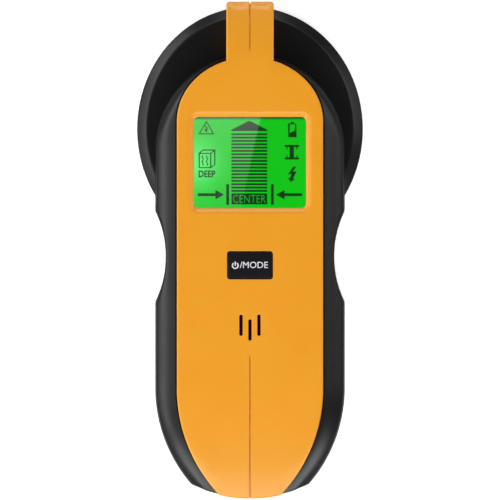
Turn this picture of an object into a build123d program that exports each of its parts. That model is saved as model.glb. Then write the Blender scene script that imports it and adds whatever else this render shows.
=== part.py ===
from build123d import *
import os
from math import cos, pi, radians, sin, sqrt, tan

# Handheld stud finder, lying on its back: X across, Y towards the head, Z out of the display.
# All sizes are in millimetres. The origin is in the middle of the surface that it rests on.

# overall
overall_length = 147.0
overall_thickness = 27.0
head_width = 67.2
head_length = 72.8
handle_width = 56.4

# case
wall = 2.0
floor_thickness = 1.8
pad_proud = 0.5
parting_height = 6.0
bevel_start = 6.4
annulus_height = 9.0
bevel_width = 2.8
wall_draft = 0.6
shoulder_height = 3.9
shoulder_steepest = 48
shoulder_shallowest = 20
tail_drop = 3.0
nose_drop = 5.0
nose_overhang = 1.1
tail_width = 35.0
tail_bow = 3.8
dome_setback = 6.0
taper_length = 32.5
tail_drop_length = 35.5
nose_drop_length = 23.5

# finger scallops
scallop_radius = 30.2
scallop_bulge = 1.2
scallop_depth = 2.75
scallop_above_key = 2.6

# orange face cover
key_proud = 0.3
cover_proud = 0.5
cover_thickness = 1.6
cover_gap = 0.25
cover_side = 5.05
cover_dome_forward = 2.0
cover_dome_rise = 18.9
cover_tail_width = 18.0
cover_tail_lip = 1.2
cover_tail_lip_length = 9.0
band_width = 14.0
band_side = 1.15
pedestal_margin = 1.1
groove_width = 0.35
groove_depth = 0.35
upper_groove_length = 14.3
lower_groove_length = 42.2
peg_diameter = 2.2
peg_length = 1.4
peg_inset = 4.1
peg_above_key = 9.5
peg_below_key = 25.5

# window and display
window_width = 33.1
window_length = 26.9
window_setback = 10.15
window_corner = 1.4
window_bevel = 1.3
pane_thickness = 1.2
pane_margin = 1.5
pane_gap = 0.3
pane_ledge = 1.0
lcd_side_margin = 1.95
lcd_end_margin = 2.3
lcd_thickness = 2.5
lcd_drop = 0.3
lcd_clearance = 0.1
frame_wall = 1.5
frame_ledge = 1.2
frame_drop = 0.25
guide_side_margin = 1.5
guide_end_margin = 2.45
guide_thickness = 2.3
led_size = (3.0, 1.3, 1.8)
led_spacing = 16.0
zebra_margin = 2.0
zebra_depth = 1.8

# key
key_width = 13.1
key_length = 7.9
key_below_window = 30.35
key_corner = 0.6
key_clearance = 0.2
key_flange = 1.2
key_flange_thickness = 1.0
key_travel = 1.0
pill_diameter = 4.0
pill_gap = 0.1
dome_wall = 0.9

# sound slots and buzzer
slot_length = 6.3
slot_width = 0.85
slot_pitch = 2.65
slots_below_key = 17.7
middle_slot_shift = -1.4
buzzer_diameter = 15.0
buzzer_thickness = 0.25
ceramic_diameter = 11.0
ceramic_thickness = 0.2
buzzer_seat = 0.6

# boards
board_thickness = 1.6
board_gap = 0.7
lcd_lift = 2.8
board_margin = 0.9
board_below_key = 5.0
board_screw_inset = (2.5, 3.7)
board_head_screws = (12.0, 11.2)
board_boss_diameter = 4.4
board_screw_diameter = 1.8
board_screw_head = 3.8
board_screw_head_height = 1.4
board_screw_length = 4.5
sensor_board_diameter = 48.0
sensor_board_thickness = 1.0
sensor_post_height = 0.6
sensor_screw_spacing = 22.0
sensor_screw_diameter = 1.6
coil_outer = 46.0
coil_inner = 31.0
coil_roof_gap = 0.3
coil_flange = 0.7
coil_depth = 5.0
header_width = 15.2
header_depth = 2.5
header_height = 2.5
header_setback = 9.5
pin_count = 6
pin_pitch = 2.54
pin_size = 0.64
lead_gap = 0.02

# case screws
nose_screw_setback = 9.0
side_screw_inset = 6.7
side_screw_above_key = 10.0
tail_screw_beside_battery = 5.8
tail_screw_setback = 16.5
case_screw_diameter = 2.6
case_screw_head = 4.6
case_screw_head_height = 1.8
case_screw_length = 12.0
case_boss_diameter = 6.0
head_sink = 1.2

# battery and its box
battery_width = 26.0
battery_body_length = 45.9
battery_thickness = 16.8
battery_setback = 7.5
battery_clearance = 0.4
battery_corner = 2.0
terminal_spacing = 12.7
terminal_length = 2.0
plus_terminal = 5.6
minus_terminal = 8.2
snap_thickness = 3.4
snap_below_battery = 2.3
box_wall = 1.2
box_roof_wall = 0.7
box_head_room = 8.1
box_roof_gap = 0.2
foam_thickness = 0.7
wire_diameter = 1.2
wire_spacing = 14.0
wire_above_floor = 5.7
wire_slot_width = 2.4

# battery door and hinge
door_margin = 1.5
door_gap = 0.25
hinge_behind_battery = 0.9
hinge_pin_diameter = 1.4
hinge_pin_length = 1.7
hinge_barrel_wall = 0.5
hinge_clearance = 0.06
hinge_block = 3.0
latch_width = 8.0
latch_rise = 4.0
latch_thickness = 0.9
latch_gap = 0.8

# glide pads
pad_recess = 0.3
head_pad_inset = 9.6
head_pad_forward = 2.0
tail_pad_inset = 7.7
tail_pad_forward = 1.0
pad_width = 4.0
pad_length = 18.0

# levels and places that follow from the sizes
nose_y = overall_length / 2
tail_y = -overall_length / 2
head_y = nose_y - nose_overhang - head_length / 2
handle_half = handle_width / 2
dome_y = head_y - dome_setback
taper_start = tail_y + taper_length
tail_drop_start = tail_y + tail_drop_length
nose_drop_start = nose_y - nose_drop_length
cover_width = window_width + 2 * cover_side
cover_dome_y = head_y + cover_dome_forward
upper_groove_end = nose_y - upper_groove_length
lower_groove_start = tail_y + lower_groove_length
window_y = head_y - window_setback
key_y = window_y - key_below_window
scallop_y = key_y + scallop_above_key
slot_y = key_y - slots_below_key
header_y = head_y - header_setback
lcd_width = window_width + 2 * lcd_side_margin
lcd_length = window_length + 2 * lcd_end_margin
guide_width = lcd_width - 2 * guide_side_margin
guide_length = lcd_length - 2 * guide_end_margin
zebra_width = lcd_width - 2 * zebra_margin
frame_width = lcd_width + 2 * lcd_clearance
frame_length = lcd_length + 2 * lcd_clearance
board_width = frame_width + 2 * (frame_wall + board_margin)
board_lower_end = key_y - board_below_key
battery_tail = tail_y + battery_setback
battery_head = battery_tail + battery_body_length
box_head_end = battery_head + box_head_room
snap_height = battery_thickness - snap_below_battery
door_width = battery_width + 2 * door_margin
hinge_barrel = hinge_pin_diameter / 2 + hinge_barrel_wall
hinge_y = battery_tail - hinge_behind_battery
back = pad_proud
floor_top = back + floor_thickness
hinge_height = back + hinge_barrel
wire_height = floor_top + wire_above_floor
face = overall_thickness - key_proud
shell_top = face - cover_proud
seat = face - cover_thickness
deck = shell_top - 3.0
cavity_shoulder = shoulder_height - 1.5
sensor_board_bottom = floor_top + sensor_post_height
sensor_board_top = sensor_board_bottom + sensor_board_thickness
coil_top = annulus_height - wall - coil_roof_gap
coil_height = coil_top - sensor_board_top
box_half = battery_width / 2 + battery_clearance
box_tail = battery_tail - battery_clearance
box_roof = floor_top + foam_thickness + battery_thickness + box_roof_gap
board_top = deck - lcd_drop - lcd_thickness - lcd_lift
board_bottom = board_top - board_thickness
lcd_bottom = deck - lcd_drop - lcd_thickness
tail_radius = ((tail_width / 2) ** 2 + tail_bow ** 2) / (2 * tail_bow)


def both_sides(x, y):
    """A place and its mirror image."""
    return [(-x, y), (x, y)]


peg_x = cover_width / 2 - peg_inset
peg_places = both_sides(peg_x, key_y + peg_above_key) + both_sides(peg_x, key_y - peg_below_key)
board_screw_places = both_sides(board_width / 2 - board_screw_inset[0], board_lower_end + board_screw_inset[1])
board_screw_places += both_sides(board_head_screws[0], head_y + board_head_screws[1])
case_screw_places = [(0.0, nose_y - nose_screw_setback)]
case_screw_places += both_sides(handle_half - side_screw_inset, key_y + side_screw_above_key)
case_screw_places += both_sides(battery_width / 2 + tail_screw_beside_battery, tail_y + tail_screw_setback)
pad_places = both_sides(head_width / 2 - head_pad_inset, head_y + head_pad_forward)
pad_places += both_sides(handle_half - tail_pad_inset, taper_start + tail_pad_forward)


def tail_arc(x):
    """Y of the curved tail edge at a distance x from the middle."""
    return tail_y + tail_radius - sqrt(tail_radius ** 2 - x ** 2)


def blend(start, end, share):
    return start + (end - start) * share


def handle_outline(share=0.0, inset=0.0):
    """Plan of the handle; share 0 is its base and 1 the edge of the orange face."""
    half = blend(handle_half, cover_width / 2 + cover_gap, share) - inset
    top_y = blend(dome_y, cover_dome_y, share)
    rise = blend(handle_half, cover_dome_rise + cover_gap, share) - inset
    corner = blend(tail_width / 2, cover_tail_width / 2 + cover_gap, share)
    end_y = tail_arc(corner) + inset
    corner = corner - inset * 0.7
    with BuildLine() as edge:
        EllipticalCenterArc((0, top_y), half, rise, start_angle=0, arc_size=180)
        Line((-half, top_y), (-half, taper_start))
        TangentArc((-half, taper_start), (-corner, end_y), tangent=(0, -1))
        ThreePointArc((-corner, end_y), (0, tail_y + inset), (corner, end_y))
        TangentArc((half, taper_start), (corner, end_y), tangent=(0, -1))
        Line((half, taper_start), (half, top_y))
    make_face(edge.edges())


def side_outline(top, front, rear):
    """Side view under the top line, which drops at the nose and the tail, from rear to front."""
    past = 2.0
    with BuildLine() as edge:
        Line((tail_y - past, -1), (nose_y + past, -1))
        Line((nose_y + past, -1), (nose_y + past, top - nose_drop))
        Line((nose_y + past, top - nose_drop), (nose_y, top - nose_drop))
        TangentArc((nose_drop_start, top), (nose_y, top - nose_drop), tangent=(1, 0))
        Line((nose_drop_start, top), (tail_drop_start, top))
        TangentArc((tail_drop_start, top), (tail_y, top - tail_drop), tangent=(-1, 0))
        Line((tail_y, top - tail_drop), (tail_y - past, top - tail_drop))
        Line((tail_y - past, top - tail_drop), (tail_y - past, -1))
    make_face(edge.edges())
    with Locations(((front + rear) / 2, 0)):
        Rectangle(front - rear, 4 * face, mode=Mode.INTERSECT)


def handle_block(inset, bottom, top, rise):
    """The handle's solid: drafted walls, a shoulder that turns flatter and the dropping top line."""
    wall_top = top - rise
    with BuildSketch(Plane.XY.offset(bottom)) as foot:
        handle_outline(0, inset)
    with BuildSketch(Plane.XY.offset(wall_top)) as rim:
        handle_outline(0, inset + wall_draft)
    loft([foot.sketch, rim.sketch])
    steep = radians(shoulder_steepest)
    shallow = radians(shoulder_shallowest)
    sections = []
    for step in (0, 0.25, 0.5, 0.75, 1):
        tilt = blend(steep, shallow, step)
        across = (sin(steep) - sin(tilt)) / (sin(steep) - sin(shallow))
        up = (cos(tilt) - cos(steep)) / (cos(shallow) - cos(steep))
        with BuildSketch(Plane.XY.offset(wall_top + rise * up)) as section:
            handle_outline(across, inset + wall_draft * (1 - step))
        sections.append(section.sketch)
    loft(sections)
    with BuildSketch(Plane.YZ) as side:
        side_outline(top, nose_y + 1, tail_y - 1)
    extrude(side.sketch, amount=overall_length, both=True, mode=Mode.INTERSECT)


def head_disc(inset, bottom, edge, top):
    """The round head: an upright rim and a bevel up to the flat ring."""
    half_width = head_width / 2 - inset
    half_length = head_length / 2 - inset
    with BuildSketch(Plane((0, head_y, bottom))) as foot:
        Ellipse(half_width, half_length)
    extrude(foot.sketch, amount=edge - bottom)
    with BuildSketch(Plane((0, head_y, edge))) as rim:
        Ellipse(half_width, half_length)
    with BuildSketch(Plane((0, head_y, top))) as ring:
        Ellipse(half_width - bevel_width, half_length - bevel_width)
    loft([rim.sketch, ring.sketch])


def scallops(extra=0.0):
    """Cuts the two finger scallops: barrels that are a little fuller at half height."""
    axis_x = handle_half - scallop_depth + scallop_radius
    for side in (-1, 1):
        rim_x = side * (axis_x - scallop_radius - extra)
        middle_x = side * (axis_x - scallop_radius - extra - scallop_bulge)
        with BuildSketch(Plane.XZ.offset(-scallop_y)) as barrel:
            with BuildLine() as edge:
                Line((side * axis_x, -1), (rim_x, -1))
                ThreePointArc((rim_x, -1), (middle_x, face / 2), (rim_x, face + 1))
                Line((rim_x, face + 1), (side * axis_x, face + 1))
                Line((side * axis_x, face + 1), (side * axis_x, -1))
            make_face(edge.edges())
        revolve(barrel.sketch, axis=Axis((side * axis_x, scallop_y, 0), (0, 0, 1)), mode=Mode.SUBTRACT)


def cylinder_at(places, diameter, bottom, top, mode=Mode.ADD):
    """One upright cylinder at each place."""
    with BuildSketch(Plane.XY.offset(bottom)) as discs:
        with Locations(*places):
            Circle(diameter / 2)
    extrude(discs.sketch, amount=top - bottom, mode=mode)


def cover_outline(gap=0.0):
    """Plan of the orange cover: the face and the strip that runs to the nose."""
    corner = cover_tail_width / 2 + gap
    half = cover_width / 2 + gap
    end_y = tail_arc(corner)
    with BuildLine() as edge:
        EllipticalCenterArc((0, cover_dome_y), half, cover_dome_rise + gap, start_angle=0, arc_size=180)
        Line((-half, cover_dome_y), (-half, taper_start))
        TangentArc((-half, taper_start), (-corner, end_y), tangent=(0, -1))
        ThreePointArc((-corner, end_y), (0, tail_y), (corner, end_y))
        TangentArc((half, taper_start), (corner, end_y), tangent=(0, -1))
        Line((half, taper_start), (half, cover_dome_y))
    make_face(edge.edges())
    band_start = cover_dome_y + cover_dome_rise / 2
    with Locations((0, (band_start + nose_y) / 2)):
        Rectangle(band_width + 2 * gap, nose_y - band_start)


def openings_through_face(clearance, bottom, top):
    """Cuts the key opening and the sound slots."""
    with BuildSketch(Plane.XY.offset(bottom)) as holes:
        with Locations((0, key_y)):
            RectangleRounded(key_width + 2 * clearance, key_length + 2 * clearance, key_corner + clearance)
        for place in (-1, 0, 1):
            slot_middle = slot_y + (middle_slot_shift if place == 0 else 0)
            with Locations((place * slot_pitch, slot_middle)):
                SlotOverall(slot_length, slot_width, rotation=90)
    extrude(holes.sketch, amount=top - bottom, mode=Mode.SUBTRACT)


# ---- front cover -------------------------------------------------------------------------
band_root = cover_dome_y + cover_dome_rise - 1.0

with BuildPart() as disc_space:
    head_disc(-0.15, -2, bevel_start, annulus_height + 0.15)

with BuildPart() as front_cover:
    with BuildSketch():
        cover_outline()
    extrude(amount=face)
    with BuildSketch(Plane.YZ):
        side_outline(face, nose_y + 1, tail_y - 1)
    extrude(amount=overall_length, both=True, mode=Mode.INTERSECT)
    with BuildSketch(Plane.YZ):
        side_outline(seat, band_root, tail_y + cover_tail_lip)
    extrude(amount=overall_length, both=True, mode=Mode.SUBTRACT)
    with BuildSketch(Plane.YZ):
        side_outline(seat, nose_y - nose_overhang + 0.15, band_root - 1)
    extrude(amount=band_width / 2 - band_side, both=True, mode=Mode.SUBTRACT)
    # the band's sides stop short of the black shoulder and of the round head
    add(disc_space.part, mode=Mode.SUBTRACT)
    with BuildSketch():
        with Locations((0, cover_dome_y)):
            Ellipse(cover_width / 2 + pedestal_margin + 0.15, cover_dome_rise + pedestal_margin + 0.15)
        with Locations((0, dome_y)):
            Circle(handle_half + 0.15)
    extrude(amount=seat, mode=Mode.SUBTRACT)
    with BuildSketch():
        with Locations((0, tail_y)):
            Rectangle(2 * cover_width, 2 * cover_tail_lip + 20)
    extrude(amount=face - tail_drop - cover_tail_lip_length, mode=Mode.SUBTRACT)
    with BuildSketch():
        with Locations((0, nose_y)):
            Rectangle(2 * band_width, 10)
    extrude(amount=back + 1, mode=Mode.SUBTRACT)
    with BuildSketch(Plane((0, window_y, seat))):
        RectangleRounded(window_width, window_length, window_corner)
    extrude(amount=cover_thickness, mode=Mode.SUBTRACT)
    with BuildSketch(Plane((0, window_y, face - window_bevel))):
        RectangleRounded(window_width, window_length, window_corner)
    with BuildSketch(Plane((0, window_y, face))):
        RectangleRounded(window_width + 2 * window_bevel, window_length + 2 * window_bevel,
                         window_corner + window_bevel)
    loft(mode=Mode.SUBTRACT)
    openings_through_face(key_clearance, seat, face)
    with BuildSketch(Plane.YZ):
        side_outline(face + 1, nose_y + 1, tail_y - 1)
        with BuildSketch(Plane.XY, mode=Mode.PRIVATE) as groove_floor:
            side_outline(face - groove_depth, nose_y - groove_depth, tail_y + groove_depth)
        add(groove_floor.sketch, mode=Mode.SUBTRACT)
        with Locations(((upper_groove_end + lower_groove_start) / 2, 0)):
            Rectangle(upper_groove_end - lower_groove_start, 4 * face, mode=Mode.SUBTRACT)
    extrude(amount=groove_width / 2, both=True, mode=Mode.SUBTRACT)
    cylinder_at(peg_places, peg_diameter, seat - peg_length, seat)
front_cover.part.label = "front_cover"

# ---- front shell -------------------------------------------------------------------------
pane_width = window_width + 2 * pane_margin
pane_length = window_length + 2 * pane_margin
pilot_gap = 2 * lead_gap
ridge_half = band_width / 2 - band_side - 0.15
case_screw_seat = back + head_sink + case_screw_head_height
case_screw_tip = case_screw_seat + case_screw_length + 0.5
board_screw_tip = board_bottom + board_screw_length + 0.3

with BuildPart() as shell_cavity:
    handle_block(wall, parting_height - 1, deck, cavity_shoulder)
    head_disc(wall, parting_height - 1, bevel_start - wall / 2, annulus_height - wall)
    with BuildSketch(Plane.YZ):
        side_outline(seat - wall, nose_y - nose_overhang - 2 * wall, dome_y)
    extrude(amount=ridge_half - wall + 0.4, both=True)
    scallops(wall)
    # room for the battery box and the display's frame
    box_middle = (box_tail + box_head_end) / 2
    with BuildSketch(Plane((0, box_middle, parting_height))) as box_plan:
        Rectangle(2 * (box_half + box_wall), box_head_end - box_tail + 2 * box_wall)
    extrude(box_plan.sketch, amount=box_roof + box_roof_wall - parting_height)
    with BuildSketch(Plane((0, window_y, board_top))) as frame_plan:
        RectangleRounded(frame_width + 2 * frame_wall, frame_length + 2 * frame_wall, 1)
    extrude(frame_plan.sketch, amount=deck - board_top)
    # the bosses for both sets of screws stay solid up to the ceiling
    cylinder_at(board_screw_places, board_boss_diameter, board_top, overall_thickness, Mode.SUBTRACT)
    cylinder_at(case_screw_places, case_boss_diameter, parting_height, overall_thickness, Mode.SUBTRACT)

with BuildPart() as cover_space:
    with BuildSketch():
        cover_outline(cover_gap)
    extrude(amount=overall_thickness)
    with BuildSketch(Plane.YZ):
        side_outline(seat, nose_y - nose_overhang, tail_y + cover_tail_lip)
    extrude(amount=overall_length, both=True, mode=Mode.SUBTRACT)
    with BuildSketch(Plane.XY.offset(-1)):
        with Locations((0, tail_y)):
            Rectangle(2 * cover_width, 20)
    extrude(amount=face - tail_drop - cover_tail_lip_length - cover_gap + 1, mode=Mode.SUBTRACT)

with BuildPart() as front_shell:
    handle_block(0, parting_height, shell_top, shoulder_height)
    with BuildSketch(Plane.XY.offset(annulus_height - wall)):
        with Locations((0, cover_dome_y)):
            Ellipse(cover_width / 2 + pedestal_margin, cover_dome_rise + pedestal_margin)
    extrude(amount=shell_top - 0.6 - annulus_height + wall)
    head_disc(0, parting_height, bevel_start, annulus_height)
    with BuildSketch(Plane.YZ):
        side_outline(seat, nose_y - nose_overhang - 0.6, dome_y)
        with Locations((0, 0)):
            Rectangle(4 * nose_y, 2 * annulus_height - wall, mode=Mode.SUBTRACT)
    extrude(amount=ridge_half, both=True)
    scallops()
    add(shell_cavity.part, mode=Mode.SUBTRACT)
    add(cover_space.part, mode=Mode.SUBTRACT)
    # pilot holes in the bosses
    cylinder_at(board_screw_places, board_screw_diameter + pilot_gap, board_top, board_screw_tip,
                Mode.SUBTRACT)
    cylinder_at(case_screw_places, case_screw_diameter + pilot_gap, parting_height, case_screw_tip,
                Mode.SUBTRACT)
    # pocket for the pane, the opening below it, and the holes for the cover's pegs
    with BuildSketch(Plane((0, window_y, seat - pane_thickness))):
        RectangleRounded(pane_width + pane_gap, pane_length + pane_gap, 2 * window_corner)
    extrude(amount=pane_thickness, mode=Mode.SUBTRACT)
    with BuildSketch(Plane((0, window_y, deck - 1))):
        RectangleRounded(window_width + pane_ledge, window_length + pane_ledge, window_corner)
    extrude(amount=seat - deck + 1, mode=Mode.SUBTRACT)
    openings_through_face(key_clearance, deck - 1, face)
    cylinder_at(peg_places, peg_diameter + 0.1, seat - peg_length - 0.1, seat, Mode.SUBTRACT)
    # ring that the buzzer is glued to
    with BuildSketch(Plane((0, slot_y, deck - buzzer_seat))):
        Circle(buzzer_diameter / 2 + 0.5)
        Circle(buzzer_diameter / 2 - 1.5, mode=Mode.SUBTRACT)
    extrude(amount=buzzer_seat)
front_shell.part.label = "front_shell"

# ---- rear shell --------------------------------------------------------------------------
door_tail = hinge_y - hinge_barrel
door_head = box_head_end - door_gap


def lower_plan(inset):
    """Plan of the rear half: the handle and the round head together."""
    handle_outline(0, inset)
    with Locations((0, head_y)):
        Ellipse(head_width / 2 - inset, head_length / 2 - inset)


with BuildPart() as rear_cavity:
    with BuildSketch(Plane.XY.offset(floor_top)):
        lower_plan(wall)
    extrude(amount=parting_height)
    scallops(wall)

with BuildPart() as rear_shell:
    with BuildSketch(Plane.XY.offset(back)):
        lower_plan(0)
    extrude(amount=parting_height - back)
    scallops()
    chamfer(rear_shell.faces().sort_by(Axis.Z)[0].edges(), 0.7)
    add(rear_cavity.part, mode=Mode.SUBTRACT)
    # battery box
    with BuildSketch(Plane.XY.offset(floor_top)):
        with Locations((0, (box_tail + box_head_end) / 2)):
            Rectangle(2 * (box_half + box_wall), box_head_end - box_tail + 2 * box_wall)
    extrude(amount=box_roof + box_roof_wall - floor_top)
    with BuildSketch(Plane.XY.offset(floor_top)):
        with Locations((0, (box_tail + box_head_end) / 2)):
            Rectangle(2 * box_half, box_head_end - box_tail)
    extrude(amount=box_roof - floor_top, mode=Mode.SUBTRACT)
    # opening that the door closes
    with BuildSketch():
        with Locations((0, (door_tail - door_gap + box_head_end) / 2)):
            Rectangle(door_width + 2 * door_gap, box_head_end - door_tail + door_gap)
    extrude(amount=floor_top, mode=Mode.SUBTRACT)
    with BuildSketch(Plane.XY.offset(floor_top)):
        with Locations((0, hinge_y)):
            Rectangle(door_width + 2 * door_gap, 2 * (hinge_barrel + door_gap))
    extrude(amount=hinge_height + hinge_barrel + door_gap - floor_top, mode=Mode.SUBTRACT)
    # blocks for the hinge pins
    for side in (-1, 1):
        with BuildSketch(Plane.XY.offset(back)):
            with Locations((side * (door_width / 2 + door_gap + hinge_block / 2), hinge_y)):
                Rectangle(hinge_block, 2 * (hinge_barrel + door_gap))
        extrude(amount=hinge_height + hinge_barrel - back)
    with BuildSketch(Plane.YZ):
        with Locations((hinge_y, hinge_height)):
            Circle(hinge_pin_diameter / 2 + hinge_clearance)
    extrude(amount=door_width / 2 + hinge_pin_length + 0.15, both=True, mode=Mode.SUBTRACT)
    # posts for the case screws and the sensor board
    cylinder_at(case_screw_places, case_boss_diameter, back, parting_height)
    cylinder_at(case_screw_places, case_screw_diameter + 0.3, 0, parting_height, Mode.SUBTRACT)
    cylinder_at(case_screw_places, case_screw_head + 0.4, 0, case_screw_seat, Mode.SUBTRACT)
    sensor_places = [(-sensor_screw_spacing / 2, head_y), (sensor_screw_spacing / 2, head_y)]
    cylinder_at(sensor_places, 4.0, floor_top, floor_top + sensor_post_height)
    cylinder_at(sensor_places, sensor_screw_diameter + pilot_gap, back + 0.6,
                floor_top + sensor_post_height, Mode.SUBTRACT)
    # two slots in the end of the battery box for the leads
    for side in (-1, 1):
        with BuildSketch(Plane.XZ.offset(-box_head_end + 0.1)):
            with Locations((side * wire_spacing / 2, wire_height + box_roof / 2)):
                Rectangle(wire_slot_width, box_roof + wire_slot_width)
        extrude(amount=-box_wall - 0.3, mode=Mode.SUBTRACT)
    # shallow pockets for the glide pads
    with BuildSketch(Plane.XY.offset(back)):
        with Locations(*pad_places):
            SlotOverall(pad_length + 0.2, pad_width + 0.2, rotation=90)
    extrude(amount=pad_recess, mode=Mode.SUBTRACT)
rear_shell.part.label = "rear_shell"

# ---- window and display ------------------------------------------------------------------
with BuildPart() as lcd_window:
    with BuildSketch(Plane((0, window_y, seat - pane_thickness))):
        RectangleRounded(pane_width, pane_length, 2 * window_corner)
    extrude(amount=pane_thickness)
lcd_window.part.label = "lcd_window"

with BuildPart() as lcd_panel:
    with BuildSketch(Plane((0, window_y, lcd_bottom))):
        Rectangle(lcd_width, lcd_length)
    extrude(amount=lcd_thickness)
lcd_panel.part.label = "lcd_panel"

with BuildPart() as lcd_frame:
    with BuildSketch(Plane((0, window_y, board_top))):
        RectangleRounded(frame_width + 2 * frame_wall, frame_length + 2 * frame_wall, 1)
    extrude(amount=deck - frame_drop - board_top)
    with BuildSketch(Plane((0, window_y, lcd_bottom))):
        Rectangle(frame_width, frame_length)
    extrude(amount=deck - lcd_bottom, mode=Mode.SUBTRACT)
    with BuildSketch(Plane((0, window_y, board_top))):
        Rectangle(lcd_width - 2 * frame_ledge, lcd_length - frame_ledge)
    extrude(amount=lcd_bottom - board_top, mode=Mode.SUBTRACT)
lcd_frame.part.label = "lcd_frame"

well_half = (lcd_length - frame_ledge) / 2
zebra_y = window_y - well_half + zebra_depth / 2 + 0.1
guide_y = window_y - well_half + zebra_depth + guide_length / 2 + 0.4
led_y = guide_y + guide_length / 2 + led_size[1] / 2 + 0.1

with BuildPart() as zebra_strip:
    with BuildSketch(Plane((0, zebra_y, board_top))):
        Rectangle(zebra_width, zebra_depth)
    extrude(amount=lcd_lift)
zebra_strip.part.label = "zebra_strip"

with BuildPart() as backlight_guide:
    with BuildSketch(Plane((0, guide_y, board_top + 0.2))):
        Rectangle(guide_width, guide_length)
    extrude(amount=guide_thickness)
backlight_guide.part.label = "backlight_guide"

with BuildPart() as backlight_leds:
    with BuildSketch(Plane((0, led_y, board_top))):
        with GridLocations(led_spacing, 1, 2, 1):
            Rectangle(led_size[0], led_size[1])
    extrude(amount=led_size[2])
backlight_leds.part.label = "backlight_leds"

# ---- key ---------------------------------------------------------------------------------
flange_top = deck - pill_gap
flange_bottom = flange_top - key_flange_thickness

with BuildPart() as mode_key:
    with BuildSketch(Plane((0, key_y, flange_bottom))):
        RectangleRounded(key_width + 2 * key_flange, key_length + 2 * key_flange, key_corner + key_flange)
    extrude(amount=key_flange_thickness)
    with BuildSketch(Plane((0, key_y, flange_top))):
        RectangleRounded(key_width, key_length, key_corner)
    extrude(amount=overall_thickness - flange_top)
    fillet(mode_key.faces().sort_by(Axis.Z)[-1].edges(), 0.3)
mode_key.part.label = "mode_key"

with BuildPart() as contact_pill:
    cylinder_at([(0, key_y)], pill_diameter, board_top + key_travel + pill_gap, flange_bottom)
contact_pill.part.label = "contact_pill"

with BuildPart() as key_dome:
    with BuildSketch(Plane((0, key_y, board_top))):
        Circle(pill_diameter / 2 + 2.6)
    with BuildSketch(Plane((0, key_y, flange_bottom))):
        Circle(pill_diameter / 2 + 1.3)
    loft()
    with BuildSketch(Plane((0, key_y, board_top))):
        Circle(pill_diameter / 2 + 2.6 - dome_wall)
    with BuildSketch(Plane((0, key_y, flange_bottom))):
        Circle(pill_diameter / 2 + 1.3 - dome_wall)
    loft(mode=Mode.SUBTRACT)
key_dome.part.label = "key_dome"

# ---- buzzer ------------------------------------------------------------------------------
disc_top = deck - buzzer_seat
with BuildPart() as buzzer_disc:
    cylinder_at([(0, slot_y)], buzzer_diameter, disc_top - buzzer_thickness, disc_top)
buzzer_disc.part.label = "buzzer_disc"

with BuildPart() as buzzer_ceramic:
    cylinder_at([(0, slot_y)], ceramic_diameter, disc_top - buzzer_thickness - ceramic_thickness,
                disc_top - buzzer_thickness)
buzzer_ceramic.part.label = "buzzer_ceramic"

# ---- boards ------------------------------------------------------------------------------
with BuildPart() as main_board:
    with BuildSketch(Plane.XY.offset(board_bottom)):
        handle_outline(0, wall + board_gap + wall_draft)
        with Locations((0, board_lower_end + overall_length / 2)):
            Rectangle(board_width, overall_length, mode=Mode.INTERSECT)
        with Locations(*case_screw_places):
            Circle(case_boss_diameter / 2 + board_gap, mode=Mode.SUBTRACT)
        with Locations(*board_screw_places):
            Circle(board_screw_diameter / 2 + 0.15, mode=Mode.SUBTRACT)
    extrude(amount=board_thickness)
main_board.part.label = "main_board"

with BuildPart() as sensor_board:
    cylinder_at([(0, head_y)], sensor_board_diameter, sensor_board_bottom, sensor_board_top)
    cylinder_at(sensor_places, sensor_screw_diameter + 0.3, sensor_board_bottom, sensor_board_top,
                Mode.SUBTRACT)
sensor_board.part.label = "sensor_board"

with BuildPart() as coil_former:
    cylinder_at([(0, head_y)], coil_outer, sensor_board_top, coil_top)
    cylinder_at([(0, head_y)], coil_inner, sensor_board_top, coil_top, Mode.SUBTRACT)
    with BuildSketch(Plane((0, head_y, sensor_board_top + coil_flange))):
        Circle(coil_outer / 2)
        Circle(coil_outer / 2 - coil_depth, mode=Mode.SUBTRACT)
    extrude(amount=coil_height - 2 * coil_flange, mode=Mode.SUBTRACT)
coil_former.part.label = "coil_former"

with BuildPart() as sensor_coil:
    with BuildSketch(Plane((0, head_y, sensor_board_top + coil_flange))):
        Circle(coil_outer / 2 - 0.4)
        Circle(coil_outer / 2 - coil_depth, mode=Mode.SUBTRACT)
    extrude(amount=coil_height - 2 * coil_flange)
sensor_coil.part.label = "sensor_coil"


def pin_row():
    """The row of square connector pins."""
    with Locations((0, header_y)):
        with GridLocations(pin_pitch, 1, pin_count, 1):
            Rectangle(pin_size, pin_size)


with BuildPart() as header_body:
    with BuildSketch(Plane.XY.offset(sensor_board_top)):
        with Locations((0, header_y)):
            Rectangle(header_width, header_depth)
    extrude(amount=header_height)
    with BuildSketch(Plane.XY.offset(sensor_board_top)) as pins:
        pin_row()
    extrude(pins.sketch, amount=header_height, mode=Mode.SUBTRACT)
header_body.part.label = "header_body"

with BuildPart() as header_pins:
    with BuildSketch(Plane.XY.offset(sensor_board_top)) as pins:
        pin_row()
    extrude(pins.sketch, amount=board_bottom - sensor_board_top)
header_pins.part.label = "header_pins"


def block(centre, size, bottom, height):
    """A plain box that stands on a board or hangs under it."""
    with BuildSketch(Plane((centre[0], centre[1], bottom))) as plan:
        Rectangle(size[0], size[1])
    extrude(plan.sketch, amount=height)


chip_size = (10.0, 10.0)
chip_height = 1.4
amplifier_size = (5.0, 6.0)
regulator_size = (4.5, 4.2)
capacitor_diameter = 5.0
capacitor_height = 6.0
capacitor_places = [(-13.0, key_y + 8.5), (-13.0, key_y + 15.5), (13.0, head_y - 6.0)]

with BuildPart() as controller_chip:
    block((0, key_y + 12.5), chip_size, board_bottom - chip_height, chip_height)
controller_chip.part.label = "controller_chip"

with BuildPart() as amplifier_chip:
    block((0, header_y + 12), amplifier_size, board_bottom - chip_height, chip_height)
amplifier_chip.part.label = "amplifier_chip"

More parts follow.
